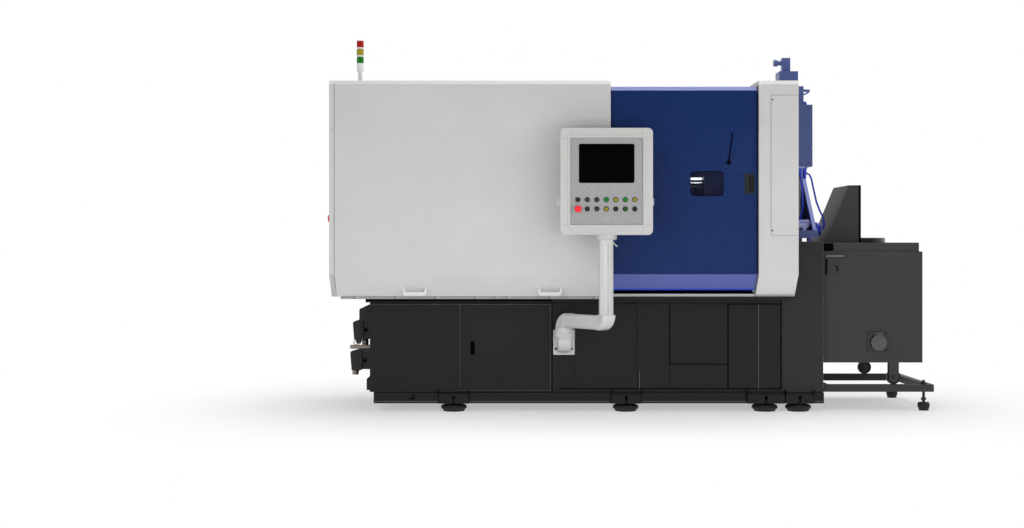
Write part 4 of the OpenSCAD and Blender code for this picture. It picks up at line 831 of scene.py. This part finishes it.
# %% Tube lines and seams
TUBE_ENDS = (608, 1034)  # heights where the upright tube meets its castings
ARM_PIVOT, ARM_ANGLE, ARM_LENGTH = Vector((1411, -580, 562)), math.radians(32.7), 428.0
BEND, TUBE = 48.0, 82.0  # length of a corner casting and side of the tube
tube_face = machine_box("swivel_arm")[0].y
tube_x = panel_x[0] + HALF_FRAME
arm = Detail("arm_trim", body_of("swivel_arm"))
arm.box((tube_x + 14, tube_x + 24), (tube_face + 1.4, tube_face + 4.4), TUBE_ENDS, white_powder_coat)
for x in (tube_x - 24, tube_x + 32):
    arm.box((x - 0.8, x + 0.8), (tube_face + 2.4, tube_face + 3.4), TUBE_ENDS, pale_seam_grey)
heading = Vector((math.sin(ARM_ANGLE), -math.cos(ARM_ANGLE), 0))
joints = [(ARM_PIVOT + heading * reach, heading) for reach in (BEND, ARM_LENGTH - BEND)]
joints.append((ARM_PIVOT + heading * ARM_LENGTH + Vector((0, 0, BEND)), UP))
for spot, along in joints:
    arm.band(spot, along, TUBE + 0.8, 18, 2.2, pale_seam_grey)
arm.finish(0)

# %% [markdown]
# ## Sliding door
# The door's lower edge turns under and shows a strong blue hem, its window has a black rubber gasket, and the pull is a
# moulded tray with a finger slot, which is filled with painted shade. A black seal runs up the door's closing edge, and
# its black also stands for the shade in the gap beside the column.

# %% Door window, edge and pull
FOLD_Z = 843  # below this the door and the covers fold back
HEM = 1.051  # how far the door's folded lower edge leans in for each millimetre down
PANE_FACE, PULL_SLOT, SEAL_ENDS = -690, (1336, 1436), (850, 1975)
door_low, door_high = machine_box("safety_door")
pane_low, pane_high = machine_box("door_window")
pull_low, pull_high = machine_box("door_pull")
portal_x = machine_box("column_cover")[0].x
door = Detail("door_trim", body_of("safety_door"))
door.rim(pane_low, pane_high, [(3, 24, PANE_FACE + 0.5), (3, 24, PANE_FACE - 2.2), (-3, 24, PANE_FACE - 2.2),
                               (-3, 24, PANE_FACE + 12)], shadow_black)
low_y, low_z = door_low.y + HEM * (FOLD_Z - door_low.z), door_low.z
door.solid([(x, low_y - HEM * up + dy, low_z + up + dz) for x in (door_low.x + 2, door_high.x - 2)
            for up, dy, dz in ((0, -0.4, -0.4), (8, -0.4, -0.4), (8, 1, 1), (0, 1, 1))], 2, pipe_blue_enamel)
# Painted shade in the pull's finger slot
door.box((pull_high.x - 38, pull_high.x - 22), (pull_low.y + 13.5, pull_low.y + 14.6), PULL_SLOT, shadow_black)
# Black seal on the closing edge, also painted shade for the gap to the column
door.box((portal_x - 8, portal_x - 2), on_face(door_low.y, 0.6), SEAL_ENDS, shadow_black)
door.finish(0)

# %% [markdown]
# ## Cover seams and clips
# The long white cover is one folded sheet. A thin joint shows where the end panel wraps round, and
# plastic clips hold the sheet on the grey strip below it.

# %% Clips and joints
CLIP_PLACES = [142, 390, 630, 872, 992, 1062, 1326, 1592]
JOINT, COVER_TOP, COVER_FOOT, FOOT_SETBACK = (28, 33), 1982, 707, 144
cover_y = machine_box("guard_front")[0].y
strip_y = machine_box("cover_rail")[0].y
cover = Detail("cover_trim", "root")
for x in CLIP_PLACES:
    cover.box((x - 8, x), on_face(strip_y, 1.5), (694, 703), grey_parts_and_painted_highlight)
    cover.box((x + 4, x + 24), on_face(strip_y, 1.5), (698, 702), cast_white_enamel)
cover.box(JOINT, on_face(cover_y, 0.3), (FOLD_Z + 1, COVER_TOP), seam_grey)
left, right = JOINT
cover.solid([(x, y + dy, z + dz) for y, z in ((cover_y, FOLD_Z), (cover_y + FOOT_SETBACK, COVER_FOOT))
             for x, dy, dz in ((left, -0.3, -0.3), (right, -0.3, -0.3), (right, 1, 1), (left, 1, 1))], 2, seam_grey)
cover.box((1.5, 29), on_face(cover_y, 0.3), (1710, 1712), seam_grey)
cover.finish(0)

# %% Column's access panel
PANEL_ENDS = (1077, 1913)
column_low, column_high = machine_box("column_access_panel")
across = (column_low.x, column_high.x)
outline = Detail("column_outline", "root")
for x, z in (((column_low.x - 1.2, column_low.x + 1), PANEL_ENDS), (across, (1912, 1914.2)),
             (across, (1075.8, 1078))):
    outline.box(x, on_face(column_low.y, 0.3), z, seam_grey)
outline.finish(0)
scatter("column_screws", SCREW, FRONT, [(column_low.x + 8, column_low.y, z) for z in (1887, 1105)], turned_steel)

# %% [markdown]
# ## Base and cabinet
# The base plates are screwed on, the cabinet door has a recessed latch, and a painted highlight runs along the plinth's
# lower edge. Black sheets only read as separate by their edges, so thin lines stand for them: black where there is a
# gap, grey as painted highlight where an edge catches the light, and black bands as painted shade under overhangs and
# beside the feet.

# %% Lines on the base
PLINTH_FACE, PLINTH_HIGHLIGHT_Z = -490, (60, 63)
POST_HIGHLIGHTS = [(2601, 137, 657), (1873, 137, 247)]  # X, then from Z to Z
UPRIGHT_GAPS = [(2060, 290, 673), (2415, 139, 673), (2742, 139, 689)]
LEVEL_GAPS = [(673, 2060, 2415), (290, 2060, 2415), (656, 2415, 2740), (139, 1380, 2740)]  # Z, then from X to X
FOOT_PLATES = [(644, 828), (1700.5, 1881.5), (2530.5, 2759.5), (2766.5, 2935.5)]
FOOT_SHADE_DEPTH, UNDER_DOOR_SHADE_DEPTH = (-512.2, -489), (-500, -497)
base_low, base_high = machine_box("base_frame")
cab_low, cab_high = machine_box("hydraulic_door")
cabinet_low, cabinet_high = machine_box("hydraulic_cabinet")
plates_y = machine_box("base_panels")[0].y
base = Detail("base_trim", "root")
# Painted highlight along the plinth's lower edge
base.box((249, 2998), on_face(PLINTH_FACE, 1.2, 0.2), PLINTH_HIGHLIGHT_Z, grey_parts_and_painted_highlight)
# Under the cabinet's top a painted highlight over painted shade, and a band of painted shade above it on the base
width, top = (cabinet_low.x + 2, cabinet_high.x - 2), cabinet_high.z
base.box(width, on_face(cabinet_low.y, 0.6), (top - 11, top - 8.5), grey_parts_and_painted_highlight)
base.box(width, on_face(cabinet_low.y), (top - 8.5, top - 0.5), shadow_black)
base.box((base_low.x + 2, cabinet_high.x), on_face(PLINTH_FACE, 0.6), (base_high.z - 31, base_high.z - 16),
         shadow_black)
# Painted highlights down the edges of two posts
for x, low, high in POST_HIGHLIGHTS:
    base.box((x - 1.5, x + 1.5), on_face(PLINTH_FACE, 1.6, 0.2), (low, high), grey_parts_and_painted_highlight)
for x, low, high in UPRIGHT_GAPS:
    base.box((x - 2.6, x + 2.6), on_face(plates_y), (low, high), shadow_black)
for z, left, right in LEVEL_GAPS:
    base.box((left, right), on_face(plates_y), (z - 2.4, z + 2.4), shadow_black)
# Painted shade: black strips beside each foot plate
for left, right in FOOT_PLATES:
    for x in (left - 3, right):
        base.box((x, x + 3), FOOT_SHADE_DEPTH, (52, 134), shadow_black)
# Painted shade as a black strip under the door, then painted highlights on the edges of the cabinet door's frame and of
# the pedestal
base.box((1690, 2560), UNDER_DOOR_SHADE_DEPTH, (700, 772), shadow_black)
base.box((cab_low.x - 6, cab_low.x - 4.2), on_face(cab_low.y), (cab_low.z, cab_high.z), grey_parts_and_painted_highlight)
base.box((2996.4, 2999), on_face(plates_y, 0.4, 2), (139, 1036), grey_parts_and_painted_highlight)
base.finish(0)

# %% Cabinet door's edges and latch, base and bracket screws
LATCH_X, LATCH_Z = (839.5, 864.5), (348, 430)
BRACKET_Z, PLATE_BACK = 423, 14.5  # middle of the arm's bracket, and its plate in front of the node's back
latch = Detail("latch_recess", body_of("hydraulic_door"))
# Painted highlights on the cabinet door's right and lower edges, and painted shade in its latch slot
latch.box((cab_high.x - 2, cab_high.x - 0.2), on_face(cab_low.y), (cab_low.z + 2, cab_high.z - 2), grey_parts_and_painted_highlight)
latch.box((cab_low.x + 2, cab_high.x - 2), on_face(cab_low.y), (cab_low.z + 0.2, cab_low.z + 2), grey_parts_and_painted_highlight)
latch.box(LATCH_X, (cab_low.y + 8.5, cab_low.y + 9.7), LATCH_Z, shadow_black)
latch.finish(0)
access_screws = [(x, plates_y, z) for x in (2060, 2406) for z in (639, 492, 320)]
scatter("base_screws", SCREW, FRONT, access_screws, turned_steel)
bracket_y = machine_box("arm_bracket")[1].y - PLATE_BACK
bolt_spots = [(ARM_PIVOT.x + dx, bracket_y, BRACKET_Z + dz) for dx in (-49, 49) for dz in (-39, 39)]
scatter("bracket_bolts", SCREW, FRONT, bolt_spots, turned_steel, size=1.4)

# %% [markdown]
# ## Multi-pole connectors
# The two big plugs at the left end have cast hoods with black hinge blocks, nickel-plated
# cable glands and a clamp bar of bare metal for the cables.

# %% Hinge blocks, glands and clamp bar
PLUG_Y, BLOCK_REACH, HOOD_X = -326.0, 56.5, 221
HINGES = [(189, 493), (182, 303)]  # X and Z of each hood's hinge
GLAND = [(20.6, 0), (20.6, 9), (17, 10), (17, 14), (20.6, 15), (20.6, 25), (17, 27)]
bar_x = machine_box("end_connectors")[0].x + 1
plugs = Detail("connector_metal", "root")
for pivot_x, pivot_z in HINGES:
    for side in (-1, 1):
        y = PLUG_Y + side * BLOCK_REACH
        plugs.box((pivot_x - 9, pivot_x + 9), (y - 4, y + 4), (pivot_z - 9, pivot_z + 9), shadow_black)
        plugs.box((pivot_x - 16, pivot_x - 13), (y - 2.5, y + 2.5), (pivot_z - 48, pivot_z + 62), shadow_black)
        plugs.box((pivot_x - 13, HOOD_X), (y - 2.5, y + 2.5), (pivot_z + 59, pivot_z + 62), grey_parts_and_painted_highlight)
# The clamp bar is an angle: a front leg and a top leg, with a bent hook at its end
plugs.box((bar_x, 222), (PLUG_Y - 24.6, PLUG_Y - 23.2), (376, 395), warm_nickel)
plugs.box((bar_x, 222), (PLUG_Y - 24, PLUG_Y + 24), (395.8, 397.4), warm_nickel)
for x, z in ((181, 398), (119, 214)):
    plugs.turned((x, PLUG_Y, z), UP, GLAND, warm_nickel, 12)
plugs.rod([(112, PLUG_Y - 20, 425), (110, PLUG_Y - 22, 412), (118, PLUG_Y - 22, 400), (140, PLUG_Y - 22, 399),
           (147, PLUG_Y - 22, 412), (143, PLUG_Y - 20, 425)], 3, warm_nickel)
plugs.finish(0.3)

# %% [markdown]
# ## Furnace
# The steel box round the melting pot has a burner port with a hinged round cover and four screws, and
# the cast pot stands a little out of the lid, with a rim that is rubbed bright.

# %% Furnace fittings
FURNACE_FACE, LID_TOP = -430, 1030
PORT_X, PORT_Z, POT_X = 3341.0, 424.0, 3300.0
POT_RIM = [(150, 0), (185.6, 2), (185.6, 33), (178, 35.5), (160, 35.5), (150, 30)]
ROD_END, LOCK_Z = (3136, -445, 950), 873
port_y = FURNACE_FACE - 8
furnace = Detail("furnace_trim", body_of("furnace_body"))
# Port cover over a black disc set off to one side, a painted shadow, with its hinge above, and the pot's rim on the lid
furnace.turned((PORT_X + 3, port_y - 12.2, PORT_Z - 4), FRONT, [(49, 0), (49, 0.6), (0.1, 0.6)], shadow_black, 40)
furnace.turned((PORT_X + 7, port_y - 12.2, PORT_Z - 6), FRONT, [(49, 0), (49, 2), (47, 3), (0.1, 3)],
               port_cover_paint, 40)
furnace.box((PORT_X - 18, PORT_X + 32), (port_y - 14, port_y - 1), (PORT_Z + 46, PORT_Z + 54), port_cover_paint)
furnace.turned((POT_X, 0, LID_TOP), UP, POT_RIM, bright_ring, 64)
# Rod with a knob below the lid, then painted shade in the corner opening and the slot, and the round lock on the
# furnace's front with a painted shadow at its rim
furnace.rod([(3020, -445, 950), ROD_END], 6.5, grey_parts_and_painted_highlight)
furnace.turned(ROD_END, RIGHT, [(9, 0), (9, 12), (7, 14), (0.1, 14)], turned_steel, 16)
furnace.box((3013.5, 3072), (FURNACE_FACE + 0.5, -360), (983, 1028), shadow_black)
furnace.box((3024, 3034), (FURNACE_FACE - 0.8, FURNACE_FACE + 1), (835, 932), shadow_black)
furnace.turned((3085, FURNACE_FACE + 0.4, LOCK_Z), FRONT, [(17, 0), (17, 1.2), (0.1, 1.2)], shadow_black, 24)
furnace.turned((3076, FURNACE_FACE - 0.9, LOCK_Z), FRONT, [(16, 0), (16, 0.6), (0.1, 0.6)], charcoal_heat_paint, 24)
furnace.finish(0.5)
port_screws = [(PORT_X + dx, port_y, PORT_Z + dz) for dx in (-53, 53) for dz in (-52, 52)]
scatter("port_screws", SCREW, FRONT, port_screws, turned_steel, body_of("furnace_body"), 1.3)

# %% Hood edge and wheel hubs
hood_low, hood_high = machine_box("furnace_hood")
# Painted shade: a black strip down the hood's right edge
hood = Detail("hood_edge", body_of("furnace_hood"))
hood.box((hood_high.x - 14, hood_high.x + 0.3), (hood_low.y - 0.3, hood_low.y + 14.3),
         (hood_low.z + 1, hood_high.z + 0.3), shadow_black)
hood.finish(0)
for node, side in (("near_wheel", -1), ("far_wheel", 1)):
    low, high = machine_box(node)
    hub = ((low.x + high.x) / 2, low.y if side < 0 else high.y, (low.z + high.z) / 2)
    scatter(node + "_hub_bolt", HEX_BOLT, (0, side, 0), [hub], turned_steel, body_of(node), 0.8)

# %% [markdown]
# ## Injection unit
# Block flanges are held by rows of socket head bolts, the hydraulic lines end in hexagon fittings,
# and a lifting eye and a plug sit on the cylinder.

# %% Bolts, fittings and lifting eye
UNION = [(12, 0), (12, 10), (9.5, 11), (9.5, 20), (0.1, 20)]
PLUG_CAP = [(15, 0), (15, 12), (12, 22), (5, 27), (0.1, 28)]
cylinder_top = machine_box("injection_cylinder")[1].z
unit = Detail("injection_fittings", "root")
for spot, axis in (((2956, -120, 1514), (0, 0, -1)), ((2905, -182, 1484), FRONT)):
    unit.turned(spot, axis, UNION, pipe_blue_enamel, 6)
unit.turned((2958, -80, cylinder_top - 311), UP, PLUG_CAP, pipe_blue_enamel, 18)
for x, top, bottom in ((2909, 1502, 1450), (2939, 1502, 1436)):
    unit.turned((x, -190, bottom), UP, [(8, 0), (10, 4), (10, top - bottom)], pipe_blue_enamel, 12)
unit.rod([(2940, -60, 1975), (2962, -60, 1982), (2988, -60, 1994)], 5, pipe_blue_enamel)
unit.finish(0.4)
block_bolts = [(2889 + dx, -161, z) for dx in (0, 84) for z in (1540, 1640, 1780, 1884)]
scatter("block_bolts", HEX_BOLT, FRONT, block_bolts, blue_enamel, size=0.7)

# %% [markdown]
# ## Clamp side and back
# Tie bars end in large round nuts outside the platens. The back guards and covers are held by rows
# of screws, which show when the machine is seen from behind.

# %% Tie-bar nuts and back screws
BAR_DIAMETER, BARS_MIDDLE = 65, 1222
NUT = [(48, 0), (48, 34), (44, 38), (34, 38), (33, 30)]
tie_low, tie_high = machine_box("tie_bars")
platen_face = machine_box("fixed_platen")[1].x
half_spacing = (tie_high.y - tie_low.y - BAR_DIAMETER) / 2
nuts = [(platen_face, y, BARS_MIDDLE + z) for y in (-half_spacing, half_spacing) for z in (-half_spacing, half_spacing)]
scatter("tie_bar_nuts", NUT, RIGHT, nuts, turned_steel)
back_y = machine_box("guard_rear")[1].y
back_screws = [(x, back_y, z) for z in (880, 1420, 1960) for x in range(80, 1660, 260)]
scatter("back_screws", SCREW, BACK, back_screws, turned_steel, size=0.9)

# %% Last update of the scene
bpy.context.view_layer.update()
